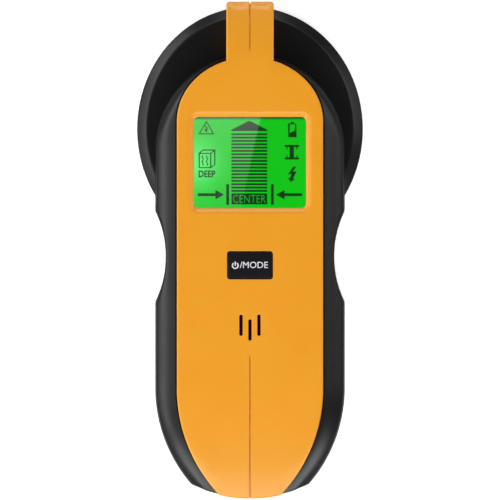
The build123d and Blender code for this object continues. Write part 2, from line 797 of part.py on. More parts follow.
with BuildPart() as voltage_regulator:
    block((12, key_y + 10.5), regulator_size, board_bottom - chip_height, chip_height)
voltage_regulator.part.label = "voltage_regulator"

with BuildPart() as capacitors:
    cylinder_at(capacitor_places, capacitor_diameter, board_bottom - capacitor_height, board_bottom)
capacitors.part.label = "capacitors"

# ---- battery -----------------------------------------------------------------------------
battery_bottom = floor_top + foam_thickness
battery_middle = battery_bottom + battery_thickness / 2

with BuildPart() as battery:
    with BuildSketch(Plane.XZ.offset(-battery_tail)):
        with Locations((0, battery_middle)):
            RectangleRounded(battery_width, battery_thickness, battery_corner)
    extrude(amount=-battery_body_length)
battery.part.label = "battery"


def terminals(gap):
    """The round plus terminal and the wider minus terminal, side by side."""
    with Locations((-terminal_spacing / 2, battery_middle)):
        Circle(plus_terminal / 2 + gap)
    with Locations((terminal_spacing / 2, battery_middle)):
        Circle(minus_terminal / 2 + gap)


with BuildPart() as battery_terminals:
    with BuildSketch(Plane.XZ.offset(-battery_head)) as studs:
        terminals(0)
    extrude(studs.sketch, amount=-terminal_length)
battery_terminals.part.label = "battery_terminals"

with BuildPart() as battery_snap:
    with BuildSketch(Plane.XZ.offset(-battery_head - 0.1)):
        with Locations((0, battery_middle)):
            RectangleRounded(battery_width - 0.6, snap_height, battery_corner)
    extrude(amount=-snap_thickness)
    with BuildSketch(Plane.XZ.offset(-battery_head)) as studs:
        terminals(0.05)
    extrude(studs.sketch, amount=-terminal_length - 0.1, mode=Mode.SUBTRACT)
battery_snap.part.label = "battery_snap"

snap_end = battery_head + 0.1 + snap_thickness
wire_end = board_lower_end + 4.5


def bend_radii(route):
    """The largest arc that each corner's two runs leave room for."""
    points = [Vector(*point) for point in route]
    radii = []
    for before, corner, after in zip(points, points[1:], points[2:]):
        turn = radians((corner - before).get_angle(after - corner))
        shorter_run = min((corner - before).length, (after - corner).length)
        radii.append(0.45 * shorter_run / tan(turn / 2))
    return radii


def lead(route, diameter):
    """A round lead along straight runs that are joined by arcs."""
    radii = bend_radii(route)
    print("lead radii", [round(radius, 2) for radius in radii])
    with BuildLine() as path:
        FilletPolyline(*route, radius=radii)
    with BuildSketch(Plane(origin=route[0], z_dir=Vector(*route[1]) - Vector(*route[0]))) as section:
        Circle(diameter / 2)
    sweep(section.sketch, path=path.wires()[0])
    print("lead volume", round(path.wires()[0].length * pi * diameter ** 2 / 4, 2))


def snap_route(x):
    """From the snap, through the slot in the battery box and up to the board."""
    return [(x, snap_end, wire_height), (x, wire_end - 4.6, wire_height),
            (x, wire_end, wire_height + 3.4), (x, wire_end, board_bottom)]


with BuildPart() as snap_wire_red:
    lead(snap_route(-wire_spacing / 2), wire_diameter)
snap_wire_red.part.label = "snap_wire_red"

with BuildPart() as snap_wire_black:
    lead(snap_route(wire_spacing / 2), wire_diameter)
snap_wire_black.part.label = "snap_wire_black"

# ---- battery door ------------------------------------------------------------------------
latch_y = door_head - latch_thickness / 2
latch_root = latch_y - 4 * latch_gap

with BuildPart() as battery_door:
    with BuildSketch(Plane.XY.offset(back)):
        with Locations((0, (hinge_y + door_head) / 2)):
            Rectangle(door_width, door_head - hinge_y)
    extrude(amount=floor_thickness - 0.1)
    with BuildSketch(Plane.YZ):
        with Locations((hinge_y, hinge_height)):
            Circle(hinge_barrel)
    extrude(amount=door_width / 2, both=True)
    with BuildSketch(Plane.YZ):
        with Locations((hinge_y, hinge_height)):
            Circle(hinge_pin_diameter / 2)
    extrude(amount=door_width / 2 + hinge_pin_length, both=True)
    # the latch: a tongue cut free on both sides, folded up inside the box
    with BuildSketch(Plane.XY.offset(back)):
        with Locations((0, door_head - latch_gap)):
            Rectangle(latch_width + 2 * latch_gap, 6 * latch_gap)
    extrude(amount=floor_thickness, mode=Mode.SUBTRACT)
    with BuildSketch(Plane.YZ):
        with BuildLine():
            Polyline((latch_root, back + latch_thickness), (latch_root, floor_top + latch_rise),
                     (latch_y, floor_top + latch_rise), (latch_y, back + latch_thickness / 2))
            offset(amount=latch_thickness / 2)
        make_face()
    extrude(amount=latch_width / 2, both=True)
    # finger recess and ribs for grip
    with BuildSketch(Plane.XY.offset(back)):
        with Locations((0, door_head - 12.0)):
            with GridLocations(1, 2.4, 1, 5):
                SlotOverall(14.0, 1.0)
    extrude(amount=0.5, mode=Mode.SUBTRACT)
battery_door.part.label = "battery_door"

with BuildPart() as foam_pad:
    with BuildSketch(Plane((0, battery_tail + battery_body_length / 2, floor_top - 0.1))):
        Rectangle(battery_width - 6, battery_body_length - 18)
    extrude(amount=foam_thickness + 0.05)
foam_pad.part.label = "foam_pad"

# ---- fasteners and pads ------------------------------------------------------------------


def screws(places, seat_height, head_diameter, head_height, shank_diameter, length):
    """Cross-recess screws driven upwards, with the head's top face at seat_height."""
    cylinder_at(places, head_diameter, seat_height - head_height, seat_height)
    cylinder_at(places, shank_diameter, seat_height, seat_height + length)
    with BuildSketch(Plane.XY.offset(seat_height - head_height)) as cross:
        with Locations(*places):
            Rectangle(head_diameter * 0.6, head_diameter * 0.16)
            Rectangle(head_diameter * 0.16, head_diameter * 0.6)
    extrude(cross.sketch, amount=head_height * 0.6, mode=Mode.SUBTRACT)


with BuildPart() as case_screws:
    screws(case_screw_places, case_screw_seat, case_screw_head, case_screw_head_height,
           case_screw_diameter, case_screw_length)
case_screws.part.label = "case_screws"

with BuildPart() as board_screws:
    screws(board_screw_places, board_bottom, board_screw_head, board_screw_head_height,
           board_screw_diameter, board_screw_length)
board_screws.part.label = "board_screws"

sensor_screw_head = 3.2
sensor_screw_head_height = 1.0
with BuildPart() as sensor_screws:
    cylinder_at(sensor_places, sensor_screw_head, sensor_board_top,
                sensor_board_top + sensor_screw_head_height)
    cylinder_at(sensor_places, sensor_screw_diameter, back + 0.8, sensor_board_top)
sensor_screws.part.label = "sensor_screws"

with BuildPart() as glide_pads:
    with BuildSketch():
        with Locations(*pad_places):
            SlotOverall(pad_length, pad_width, rotation=90)
    extrude(amount=back + pad_recess)
glide_pads.part.label = "glide_pads"

# ---- every piece to its own file ---------------------------------------------------------
pieces = [
    front_cover, front_shell, rear_shell, lcd_window, lcd_panel, lcd_frame, zebra_strip,
    backlight_guide, backlight_leds, mode_key, contact_pill, key_dome, buzzer_disc, buzzer_ceramic,
    main_board, sensor_board, coil_former, sensor_coil, header_body, header_pins, controller_chip,
    amplifier_chip, voltage_regulator, capacitors, battery, battery_terminals, battery_snap,
    snap_wire_red, snap_wire_black, battery_door, foam_pad, case_screws, board_screws,
    sensor_screws, glide_pads,
]
os.makedirs("parts", exist_ok=True)
for piece in pieces:
    export_step(piece.part, f"parts/{piece.part.label}.step")
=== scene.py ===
from math import atan2, cos, pi, radians, sin, sqrt

import bmesh
import bpy
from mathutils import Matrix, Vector, geometry, kdtree


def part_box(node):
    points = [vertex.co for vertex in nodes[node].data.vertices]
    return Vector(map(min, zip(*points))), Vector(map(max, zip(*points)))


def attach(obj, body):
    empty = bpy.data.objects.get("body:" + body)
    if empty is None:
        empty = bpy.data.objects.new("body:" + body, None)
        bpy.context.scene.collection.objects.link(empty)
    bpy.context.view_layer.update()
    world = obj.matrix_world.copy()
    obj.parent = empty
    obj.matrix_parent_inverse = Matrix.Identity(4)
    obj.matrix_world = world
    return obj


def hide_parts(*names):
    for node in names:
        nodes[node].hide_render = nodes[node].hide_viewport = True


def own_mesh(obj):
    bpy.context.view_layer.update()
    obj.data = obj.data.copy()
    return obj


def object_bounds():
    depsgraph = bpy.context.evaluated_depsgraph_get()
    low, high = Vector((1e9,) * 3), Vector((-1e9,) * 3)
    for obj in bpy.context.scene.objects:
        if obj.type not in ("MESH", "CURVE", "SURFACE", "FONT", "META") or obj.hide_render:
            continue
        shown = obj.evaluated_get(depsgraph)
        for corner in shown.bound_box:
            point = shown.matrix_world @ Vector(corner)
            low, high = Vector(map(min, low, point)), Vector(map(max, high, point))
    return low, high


# A handheld stud finder, lying on its back with the display upwards.
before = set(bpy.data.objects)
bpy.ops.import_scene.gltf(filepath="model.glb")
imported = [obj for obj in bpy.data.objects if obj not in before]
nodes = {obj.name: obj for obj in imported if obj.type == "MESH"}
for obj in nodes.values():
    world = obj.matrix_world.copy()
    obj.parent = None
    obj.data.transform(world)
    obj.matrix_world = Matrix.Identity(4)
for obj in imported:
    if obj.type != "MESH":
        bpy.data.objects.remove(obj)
cadLow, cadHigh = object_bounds()
mm = 0.001
print("frame loaded:", len(nodes), "nodes")

shellLow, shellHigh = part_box("front_shell")
coverLow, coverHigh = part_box("front_cover")
keyLow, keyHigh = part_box("mode_key")
panelLow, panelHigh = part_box("lcd_panel")
domeLow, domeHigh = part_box("key_dome")
foamLow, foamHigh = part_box("foam_pad")
padLow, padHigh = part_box("glide_pads")

case = {  # plan and side view of the black handle
    "handleHalf": 28.2 * mm,
    "domeY": 30 * mm,
    "tailHalf": 17.5 * mm,
    "tailBow": 3.8 * mm,
    "taperStart": -41 * mm,
    "wallDraft": 0.6 * mm,
    "shoulder": 3.9 * mm,
    "steepest": 48,
    "shallowest": 20,
    "noseDrop": 5 * mm,
    "noseDropStart": 50 * mm,
    "tailDrop": 3 * mm,
    "tailDropStart": -38 * mm,
    "seam": 0.25 * mm,
}
cover = {  # orange face
    "half": 21.6 * mm,
    "domeY": 38 * mm,
    "domeRise": 18.9 * mm,
    "tailHalf": 9 * mm,
    "bandHalf": 7 * mm,
    "gap": 0.46 * mm,
    "thickness": 1.6 * mm,
    "edge": 0.5 * mm,
    "lip": 9 * mm,
    "grooveHalf": 0.24 * mm,
    "grooveDepth": 0.5 * mm,
    "upperGrooveEnd": 59.2 * mm,
    "lowerGrooveStart": -31.3 * mm,
}
window = {
    "half": (16.55 * mm, 13.45 * mm),
    "corner": 1.4 * mm,
    "bevel": 1.3 * mm,
}
noseY, tailY, faceZ = coverHigh.y, coverLow.y, coverHigh.z
shellTop, partingZ = shellHigh.z, shellLow.z
seatZ = faceZ - cover["thickness"]
windowMiddle = ((panelLow.x + panelHigh.x) / 2, (panelLow.y + panelHigh.y) / 2)
tailRadius = (case["tailHalf"] ** 2 + case["tailBow"] ** 2) / (2 * case["tailBow"])


def mix(start, end, share):
    return start + (end - start) * share


def tailArc(x):  # the curved end of the tail in plan
    return tailY + tailRadius - sqrt(tailRadius ** 2 - x ** 2)


def dropAt(y):  # how far the top line has fallen at y
    for start, end, fall in ((case["noseDropStart"], noseY, case["noseDrop"]),
                             (case["tailDropStart"], tailY, case["tailDrop"])):
        run, whole = y - start, end - start
        if run * whole > 0:
            radius = (whole ** 2 + fall ** 2) / (2 * fall)
            return radius - sqrt(radius ** 2 - min(run ** 2, whole ** 2))
    return 0.0


def bow(start, heading, end, steps):  # arc that leaves start along heading and reaches end
    dx, dy = end[0] - start[0], end[1] - start[1]
    along = dx * heading[0] + dy * heading[1]
    across = dy * heading[0] - dx * heading[1]
    radius = (dx * dx + dy * dy) / (2 * across)
    turn = 2 * atan2(across, along)
    points = []
    for i in range(steps + 1):
        ahead = radius * sin(turn * i / steps)
        aside = radius * (1 - cos(turn * i / steps))
        points.append((start[0] + heading[0] * ahead - heading[1] * aside,
                       start[1] + heading[1] * ahead + heading[0] * aside))
    return points


def mirrored(left):  # closes a left half, which runs from the nose to the tail
    return left + [(-x, y) for x, y in reversed(left) if abs(x) > 1e-7]


def tailCurve(corner, endY, middleY, steps):
    sag = endY - middleY
    radius = (corner ** 2 + sag ** 2) / (2 * sag)
    xs = [-corner * (1 - i / steps) for i in range(steps + 1)]
    return [(x, middleY + radius - sqrt(radius ** 2 - x ** 2)) for x in xs]


def handlePlan(share, inset):  # share 0 is the handle's foot, and 1 the edge of the orange face
    half = mix(case["handleHalf"], cover["half"] + cover["gap"], share) - inset
    topY = mix(case["domeY"], cover["domeY"], share)
    rise = mix(case["handleHalf"], cover["domeRise"] + cover["gap"], share) - inset
    corner = mix(case["tailHalf"], cover["tailHalf"] + cover["gap"], share)
    tailInset = max(inset, 0.45 * mm * share)
    endY = tailArc(corner) + tailInset
    corner -= inset * 0.7
    dome = [(half * cos(radians(90 + 2.25 * i)), topY + rise * sin(radians(90 + 2.25 * i))) for i in range(41)]
    side = [(-half, mix(topY, case["taperStart"], i / 150)) for i in range(1, 151)]
    taper = bow((-half, case["taperStart"]), (0, -1), (-corner, endY), 40)[1:]
    tail = tailCurve(corner, endY, tailY + tailInset, 14)[1:]
    dome[0] = (0.0, dome[0][1])
    return mirrored(dome + side + taper + tail)


def roundedBox(middle, half, corner, steps=8):  # clockwise when seen from above, as an opening is
    cx, cy = middle
    points = []
    for sx, sy, start in ((1, 1, 90), (1, -1, 0), (-1, -1, -90), (-1, 1, -180)):
        for i in range(steps + 1):
            angle = radians(start - 90 * i / steps)
            points.append((cx + sx * (half[0] - corner) + corner * cos(angle),
                           cy + sy * (half[1] - corner) + corner * sin(angle)))
    return spread(points, 2.5 * mm)


def spread(loop, longest):  # adds points so that no run of a closed loop is longer than that
    points = []
    for (ax, ay), (bx, by) in zip(loop, loop[1:] + loop[:1]):
        parts = max(1, int(sqrt((bx - ax) ** 2 + (by - ay) ** 2) / longest) + 1)
        points += [(mix(ax, bx, i / parts), mix(ay, by, i / parts)) for i in range(parts)]
    return points


def offsetLoop(loop, distance):  # moves a closed loop to its left; distance is a number, or one for each point
    count = len(loop)
    distances = distance if isinstance(distance, list) else [distance] * count
    moved = []
    for i, (x, y) in enumerate(loop):
        before, after = Vector(loop[i - 1]), Vector(loop[(i + 1) % count])
        first, second = (Vector((x, y)) - before).normalized(), (after - Vector((x, y))).normalized()
        normal = Vector((-(first.y + second.y), first.x + second.x))
        if normal.length < 1e-9:
            moved.append((x, y))
            continue
        normal.normalize()
        reach = min(2.0, 1 / max(0.3, normal.dot(Vector((-first.y, first.x)))))
        moved.append((x + normal.x * distances[i] * reach, y + normal.y * distances[i] * reach))
    return moved


def stitch(bm, rows, closed=True):  # quads between rows of vertices
    for upper, lower in zip(rows, rows[1:]):
        for i in range(len(upper) if closed else len(upper) - 1):
            j = (i + 1) % len(upper)
            corners = []
            for vert in (upper[i], upper[j], lower[j], lower[i]):
                if vert not in corners:
                    corners.append(vert)
            if len(corners) > 2 and not bm.faces.get(corners):
                bm.faces.new(corners)


def inside(point, loop):
    x, y = point
    hit = False
    for (ax, ay), (bx, by) in zip(loop, loop[1:] + loop[:1]):
        if (ay > y) != (by > y) and x < (bx - ax) * (y - ay) / (by - ay) + ax:
            hit = not hit
    return hit


def fillTop(bm, loops, topAt, spacing):  # triangles between an outline and its openings, fine enough to bend
    points = [p for loop in loops for p in loop]
    edges, start = [], 0
    for loop in loops:
        edges += [(start + i, start + (i + 1) % len(loop)) for i in range(len(loop))]
        start += len(loop)
    near = kdtree.KDTree(len(points))
    for i, (x, y) in enumerate(points):
        near.insert((x, y, 0), i)
    near.balance()
    xs, ys = [p[0] for p in points], [p[1] for p in points]
    for column in range(int((max(xs) - min(xs)) / spacing) + 1):
        for row in range(int((max(ys) - min(ys)) / spacing) + 1):
            spot = (min(xs) + (column + 0.5) * spacing, min(ys) + (row + 0.5) * spacing)
            if near.find((*spot, 0))[2] > spacing * 0.6 and inside(spot, loops[0]) \
                    and not any(inside(spot, hole) for hole in loops[1:]):
                points.append(spot)
    made = geometry.delaunay_2d_cdt([Vector(p) for p in points], edges, [], 0, 1e-8)
    verts = [bm.verts.new((v.x, v.y, topAt(v.x, v.y))) for v in made[0]]
    for face in made[2]:
        spot = (sum(made[0][i].x for i in face) / 3, sum(made[0][i].y for i in face) / 3)
        if inside(spot, loops[0]) and not any(inside(spot, hole) for hole in loops[1:]):
            bm.faces.new([verts[i] for i in face])
    source = {original: verts[i] for i, originals in enumerate(made[3]) for original in originals}
    rows, start = [], 0
    for loop in loops:
        rows.append([source[start + i] for i in range(len(loop))])
        start += len(loop)
    return rows


def roundedEdge(radius, depth, steps=5):  # profile of a rounded edge: how far into the material, and how far down
    turned = [(radius * (1 - sin(radians(90 * i / steps))), radius * (1 - cos(radians(90 * i / steps))))
              for i in range(steps + 1)]
    return [(radius + 0.35 * mm, 0)] + turned + [(0, depth)]


def plate(bm, loops, topAt, spacing=2.5 * mm):  # loops hold (points, profile, bottomAt or None, edge scale or None)
    starts = []
    for points, profile, bottomAt, scaleAt in loops:
        scales = [scaleAt(x, y) if scaleAt else 1.0 for x, y in points]
        starts.append(offsetLoop(points, [profile[0][0] * s for s in scales]))
    firstRows = fillTop(bm, starts, topAt, spacing)
    for (points, profile, bottomAt, scaleAt), first in zip(loops, firstRows):
        scales = [scaleAt(x, y) if scaleAt else 1.0 for x, y in points]
        rows = [first]
        for sideways, down in profile[1:]:
            row = offsetLoop(points, [sideways * s for s in scales])
            last = (sideways, down) == profile[-1]
            rows.append([bm.verts.new((x, y, bottomAt(px, py) if last and bottomAt else
                                       topAt(px, py) - down * (1 if last else s)))
                         for (x, y), (px, py), s in zip(row, points, scales)])
        stitch(bm, rows)


def addPiece(name, bm, finish, body, replaces=(), sharp=38):
    bmesh.ops.remove_doubles(bm, verts=bm.verts, dist=1e-7)
    bmesh.ops.recalc_face_normals(bm, faces=bm.faces)
    up = sum(f.normal.z * f.calc_area() for f in bm.faces if f.calc_center_median().z > 0)
    if up < -1e-9:
        bmesh.ops.reverse_faces(bm, faces=bm.faces)
    for face in bm.faces:
        face.smooth = True
    for edge in bm.edges:
        if len(edge.link_faces) == 2 and edge.calc_face_angle(0) > radians(sharp):
            edge.smooth = False
    mesh = bpy.data.meshes.new(name)
    bm.to_mesh(mesh)
    bm.free()
    mesh.materials.append(finish)
    piece = bpy.data.objects.new(name, mesh)
    bpy.context.scene.collection.objects.link(piece)
    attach(piece, body)
    if replaces:
        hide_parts(*replaces)
    return piece


def srgb(red, green, blue):
    shares = [v / 255 for v in (red, green, blue)]
    return tuple(v / 12.92 if v <= 0.04045 else ((v + 0.055) / 1.055) ** 2.4 for v in shares) + (1.0,)


def newGroup(name, takes, gives):
    tree = bpy.data.node_groups.new(name, "ShaderNodeTree")
    for label, value in takes.items():
        tree.interface.new_socket(name=label, in_out="INPUT", socket_type="NodeSocketFloat").default_value = value
    for label in gives:
        tree.interface.new_socket(name=label, in_out="OUTPUT", socket_type="NodeSocketFloat")
    return tree, tree.nodes.new("NodeGroupInput"), tree.nodes.new("NodeGroupOutput")


def node(tree, kind, links=None, **values):  # a node with its plain values, and links to its inputs
    made = tree.nodes.new(kind)
    for key, value in values.items():
        setattr(made, key, value)
    for key, value in (links or {}).items():
        socket = made.inputs[key]
        if isinstance(value, bpy.types.NodeSocket):
            tree.links.new(value, socket)
        else:
            socket.default_value = value
    return made


def remap(tree, value, low, high, toLow=0.0, toHigh=1.0, **kinds):
    ends = {"Value": value, "From Min": low, "From Max": high, "To Min": toLow, "To Max": toHigh}
    return node(tree, "ShaderNodeMapRange", ends, **kinds).outputs[0]


def objectPlace(tree):
    return node(tree, "ShaderNodeTexCoord").outputs["Object"]


def noise(tree, place, scale, detail, rough, **more):
    ends = {"Vector": place, "Scale": scale, "Detail": detail, "Roughness": rough, **more}
    return node(tree, "ShaderNodeTexNoise", ends)


def giveMask(tree, give, first, second, amount):  # two masks and an amount, multiplied
    both = node(tree, "ShaderNodeMath", {0: first, 1: second}, operation="MULTIPLY")
    scaled = node(tree, "ShaderNodeMath", {0: both.outputs[0], 1: amount}, operation="MULTIPLY", use_clamp=True)
    tree.links.new(scaled.outputs[0], give.inputs["Mask"])


def makeMouldGrain():  # the fine spark-eroded texture of a mould, and slow unevenness
    tree, take, give = newGroup("mouldGrain", {"Grain Scale": 3000, "Mottle Scale": 60}, ["Height", "Mottle"])
    place = objectPlace(tree)
    fine = noise(tree, place, take.outputs[0], 3.0, 0.65)
    slow = noise(tree, place, take.outputs[1], 4.0, 0.6)
    even = remap(tree, slow.outputs["Fac"], 0.3, 0.7)
    tree.links.new(fine.outputs["Fac"], give.inputs["Height"])
    tree.links.new(even, give.inputs["Mottle"])
    return tree


def makeEdgeWearAndHighlight():  # paler colour where an edge turns sharply, broken up: wear as handling leaves it, and on the orange face also a painted highlight along the rounded edges
    tree, take, give = newGroup("edgeWearAndHighlight", {"Radius": 0.3 * mm, "Amount": 1.0}, ["Mask"])
    turned = node(tree, "ShaderNodeBevel", {"Radius": take.outputs[0]}, samples=4)
    shape = node(tree, "ShaderNodeNewGeometry")
    alike = node(tree, "ShaderNodeVectorMath", {0: turned.outputs[0], 1: shape.outputs["Normal"]},
                 operation="DOT_PRODUCT")
    bend = remap(tree, alike.outputs["Value"], 0.99, 0.82)
    place = objectPlace(tree)
    patches = noise(tree, place, 420.0, 5.0, 0.7)
    broken = remap(tree, patches.outputs["Fac"], 0.42, 0.62)
    giveMask(tree, give, bend, broken, take.outputs[1])
    return tree


def makeDustFall():  # fine dust on what faces up
    tree, take, give = newGroup("dustFall", {"Amount": 0.1}, ["Mask"])
    shape = node(tree, "ShaderNodeNewGeometry")
    upward = node(tree, "ShaderNodeSeparateXYZ", {0: shape.outputs["Normal"]})
    flat = remap(tree, upward.outputs["Z"], 0.4, 1.0)
    place = objectPlace(tree)
    specks = noise(tree, place, 900.0, 6.0, 0.75)
    sparse = remap(tree, specks.outputs["Fac"], 0.5, 0.8)
    giveMask(tree, give, flat, sparse, take.outputs[0])
    return tree


mouldGrain, edgeWearAndHighlight, dustFall = makeMouldGrain(), makeEdgeWearAndHighlight(), makeDustFall()


def placeGroup(tree, group, **values):
    made = tree.nodes.new("ShaderNodeGroup")
    made.node_tree = group
    for key, value in values.items():
        made.inputs[key.replace("_", " ")].default_value = value
    return made


def newFinish(name, plain):  # plain holds the values set on the shader itself
    finish = bpy.data.materials.new(name)
    finish.use_nodes = True
    tree = finish.node_tree
    tree.nodes.clear()
    shader = tree.nodes.new("ShaderNodeBsdfPrincipled")
    tree.links.new(shader.outputs[0], tree.nodes.new("ShaderNodeOutputMaterial").inputs[0])
    for key, value in plain.items():
        shader.inputs[key].default_value = value
    return finish, tree, shader


def mixColour(tree, factor, first, second):
    made = node(tree, "ShaderNodeMix", data_type="RGBA")
    for index, value in ((0, factor), (6, first), (7, second)):
        if isinstance(value, bpy.types.NodeSocket):
            tree.links.new(value, made.inputs[index])
        else:
            made.inputs[index].default_value = value
    return made.outputs[2]


def dress(tree, shader, colour, factor, rough, height=None, strength=0.0, distance=0.0):  # links a finish's last steps
    tree.links.new(colour, shader.inputs["Base Color"])
    tree.links.new(remap(tree, factor, 0.0, 1.0, *rough), shader.inputs["Roughness"])
    if height:
        bump = node(tree, "ShaderNodeBump", {"Height": height, "Strength": strength, "Distance": distance})
        tree.links.new(bump.outputs[0], shader.inputs["Normal"])


def moulded(name, look, plain=None):  # a plastic, rubber, metal or ceramic surface from its look
    finish, tree, shader = newFinish(name, plain or {})
    grain = placeGroup(tree, mouldGrain, Grain_Scale=look.get("grain", 3000), Mottle_Scale=look.get("mottle", 60))
    colour = mixColour(tree, grain.outputs["Mottle"], look["colour"], look.get("shade", look["colour"]))
    # edge colour: wear, and on the orange face also a painted highlight
    wearAndHighlight = placeGroup(tree, edgeWearAndHighlight, Radius=look.get("wearAndHighlightRadius", 0.3 * mm), Amount=look.get("wearAndHighlight", 0.25))
    colour = mixColour(tree, wearAndHighlight.outputs["Mask"], colour, look.get("wearAndHighlightColour", look["colour"]))
    dust = placeGroup(tree, dustFall, Amount=look.get("dust", 0.04))
    colour = mixColour(tree, dust.outputs["Mask"], colour, srgb(176, 170, 160))
    dress(tree, shader, colour, grain.outputs["Mottle"], look["rough"],
          grain.outputs["Height"], look.get("bump", 0.2), 0.02 * mm)
    return finish


# the orange face's pale edge colour is a painted highlight along its rounded edges, broken up as wear is
orangePlastic = moulded("orangePlastic", {
    "colour": srgb(235, 154, 22), "shade": srgb(238, 158, 28), "wearAndHighlightColour": srgb(250, 210, 128), "wearAndHighlight": 0.45,
    "wearAndHighlightRadius": 0.35 * mm, "rough": (0.4, 0.48), "grain": 2600, "bump": 0.14, "dust": 0.012},
    {"Specular IOR Level": 0.35, "Coat Weight": 0.5, "Coat Roughness": 0.12})
blackPlastic = moulded("blackPlastic", {
    "colour": srgb(11, 11, 13), "shade": srgb(8, 8, 10), "wearAndHighlightColour": srgb(64, 64, 68), "wearAndHighlight": 0.3,
    "rough": (0.3, 0.38), "grain": 2200, "bump": 0.25, "dust": 0.008}, {"Specular IOR Level": 0.42})
keyRubber = moulded("keyRubber", {
    "colour": srgb(12, 12, 15), "shade": srgb(9, 9, 12), "wearAndHighlightColour": srgb(48, 50, 56), "wearAndHighlight": 0.35,
    "rough": (0.42, 0.54), "grain": 4200, "bump": 0.3, "dust": 0.012}, {"Specular IOR Level": 0.18})
greyRubber = moulded("greyRubber", {
    "colour": srgb(96, 98, 100), "shade": srgb(78, 80, 82), "rough": (0.6, 0.75), "grain": 2600, "bump": 0.35})
whitePlastic = moulded("whitePlastic", {
    "colour": srgb(226, 224, 216), "shade": srgb(214, 211, 202), "rough": (0.4, 0.52), "bump": 0.2})
carbonRubber = moulded("carbonRubber", {
    "colour": srgb(30, 30, 31), "shade": srgb(20, 20, 21), "rough": (0.7, 0.85), "grain": 5200, "bump": 0.5})
ceramic = moulded("ceramic", {
    "colour": srgb(222, 216, 200), "shade": srgb(206, 198, 178), "rough": (0.3, 0.45), "mottle": 300})
componentBlack = moulded("componentBlack", {
    "colour": srgb(38, 38, 40), "shade": srgb(28, 28, 30), "rough": (0.5, 0.62), "grain": 6000, "bump": 0.35})
capacitorSleeve = moulded("capacitorSleeve", {
    "colour": srgb(28, 36, 74), "shade": srgb(20, 27, 58), "rough": (0.24, 0.34), "bump": 0.1})
batteryJacket = moulded("batteryJacket", {
    "colour": srgb(52, 56, 62), "shade": srgb(40, 43, 48), "wearAndHighlightColour": srgb(150, 150, 150), "wearAndHighlight": 0.5,
    "rough": (0.2, 0.34), "grain": 900, "bump": 0.1, "mottle": 130}, {"Coat Weight": 0.4, "Coat Roughness": 0.12})
guideAcrylic = moulded("guideAcrylic", {
    "colour": srgb(210, 232, 214), "shade": srgb(196, 224, 202), "rough": (0.12, 0.22), "bump": 0.05})
wireRed = moulded("wireRed", {
    "colour": srgb(176, 24, 20), "shade": srgb(150, 18, 16), "rough": (0.35, 0.5), "bump": 0.15})
wireBlack = moulded("wireBlack", {
    "colour": srgb(26, 26, 27), "shade": srgb(18, 18, 19), "rough": (0.35, 0.5), "bump": 0.15})
brass = moulded("brass", {
    "colour": srgb(214, 178, 96), "shade": srgb(190, 150, 74), "rough": (0.26, 0.42), "mottle": 400, "bump": 0.1},
    {"Metallic": 1.0})
platedSteel = moulded("platedSteel", {
    "colour": srgb(196, 196, 192), "shade": srgb(168, 168, 164), "rough": (0.22, 0.36), "mottle": 500, "bump": 0.12},
    {"Metallic": 1.0})
screwSteel = moulded("screwSteel", {
    "colour": srgb(128, 126, 120), "shade": srgb(98, 96, 92), "wearAndHighlightColour": srgb(190, 188, 182), "wearAndHighlight": 0.7,
    "rough": (0.28, 0.46), "mottle": 700, "bump": 0.2}, {"Metallic": 1.0})
ledGreen = moulded("ledGreen", {
    "colour": srgb(190, 236, 190), "shade": srgb(170, 226, 172), "rough": (0.15, 0.3), "bump": 0.05},
    {"Emission Color": srgb(60, 255, 70), "Emission Strength": 2.0})
printWhite = moulded("printWhite", {
    "colour": srgb(232, 233, 236), "shade": srgb(214, 216, 220), "rough": (0.45, 0.6), "grain": 5200, "bump": 0.2})


def makeBoardGreen():  # solder mask over copper tracks
    finish, tree, shader = newFinish("boardGreen", {"Specular IOR Level": 0.5})
    grain = placeGroup(tree, mouldGrain, Grain_Scale=1800, Mottle_Scale=90)
    place = objectPlace(tree)
    tracks = node(tree, "ShaderNodeTexBrick", {"Vector": place, "Scale": 190.0, "Mortar Size": 0.06,
                                               "Mortar Smooth": 0.2})
    mask = mixColour(tree, grain.outputs["Mottle"], srgb(22, 84, 46), srgb(17, 70, 38))
    colour = mixColour(tree, tracks.outputs["Fac"], srgb(34, 104, 56), mask)
    dress(tree, shader, colour, grain.outputs["Mottle"], (0.22, 0.36),
          tracks.outputs["Fac"], 0.3, 0.03 * mm)
    return finish


def makeCopperWinding():  # round turns of enamelled wire
    finish, tree, shader = newFinish("copperWinding", {"Metallic": 1.0, "Coat Weight": 0.5})
    place = objectPlace(tree)
    turns = node(tree, "ShaderNodeTexWave", {"Vector": place, "Scale": 700.0, "Distortion": 0.6},
                 wave_type="RINGS", rings_direction="SPHERICAL")
    colour = mixColour(tree, turns.outputs["Fac"], srgb(112, 52, 22), srgb(206, 118, 62))
    dress(tree, shader, colour, turns.outputs["Fac"], (0.45, 0.25),
          turns.outputs["Fac"], 0.7, 0.08 * mm)
    return finish


def makeFoam():  # open cells
    finish, tree, shader = newFinish("foam", {"Sheen Weight": 0.3})
    place = objectPlace(tree)
    cells = node(tree, "ShaderNodeTexVoronoi", {"Vector": place, "Scale": 2400.0})
    colour = mixColour(tree, cells.outputs["Distance"], srgb(38, 38, 40), srgb(74, 74, 77))
    dress(tree, shader, colour, cells.outputs["Distance"], (0.98, 0.85),
          cells.outputs["Distance"], 0.9, 0.15 * mm)
    return finish


def makeFelt():  # short matted fibres
    finish, tree, shader = newFinish("felt", {"Sheen Weight": 0.6, "Sheen Roughness": 0.5})
    place = objectPlace(tree)
    lay = node(tree, "ShaderNodeMapping", {"Vector": place, "Scale": (1.0, 0.35, 1.0), "Rotation": (0, 0, 0.5)})
    fibres = noise(tree, lay.outputs[0], 2600.0, 6.0, 0.75, Distortion=1.4)
    colour = mixColour(tree, fibres.outputs["Fac"], srgb(30, 30, 32), srgb(82, 82, 86))
    dress(tree, shader, colour, fibres.outputs["Fac"], (0.99, 0.88),
          fibres.outputs["Fac"], 0.8, 0.12 * mm)
    return finish


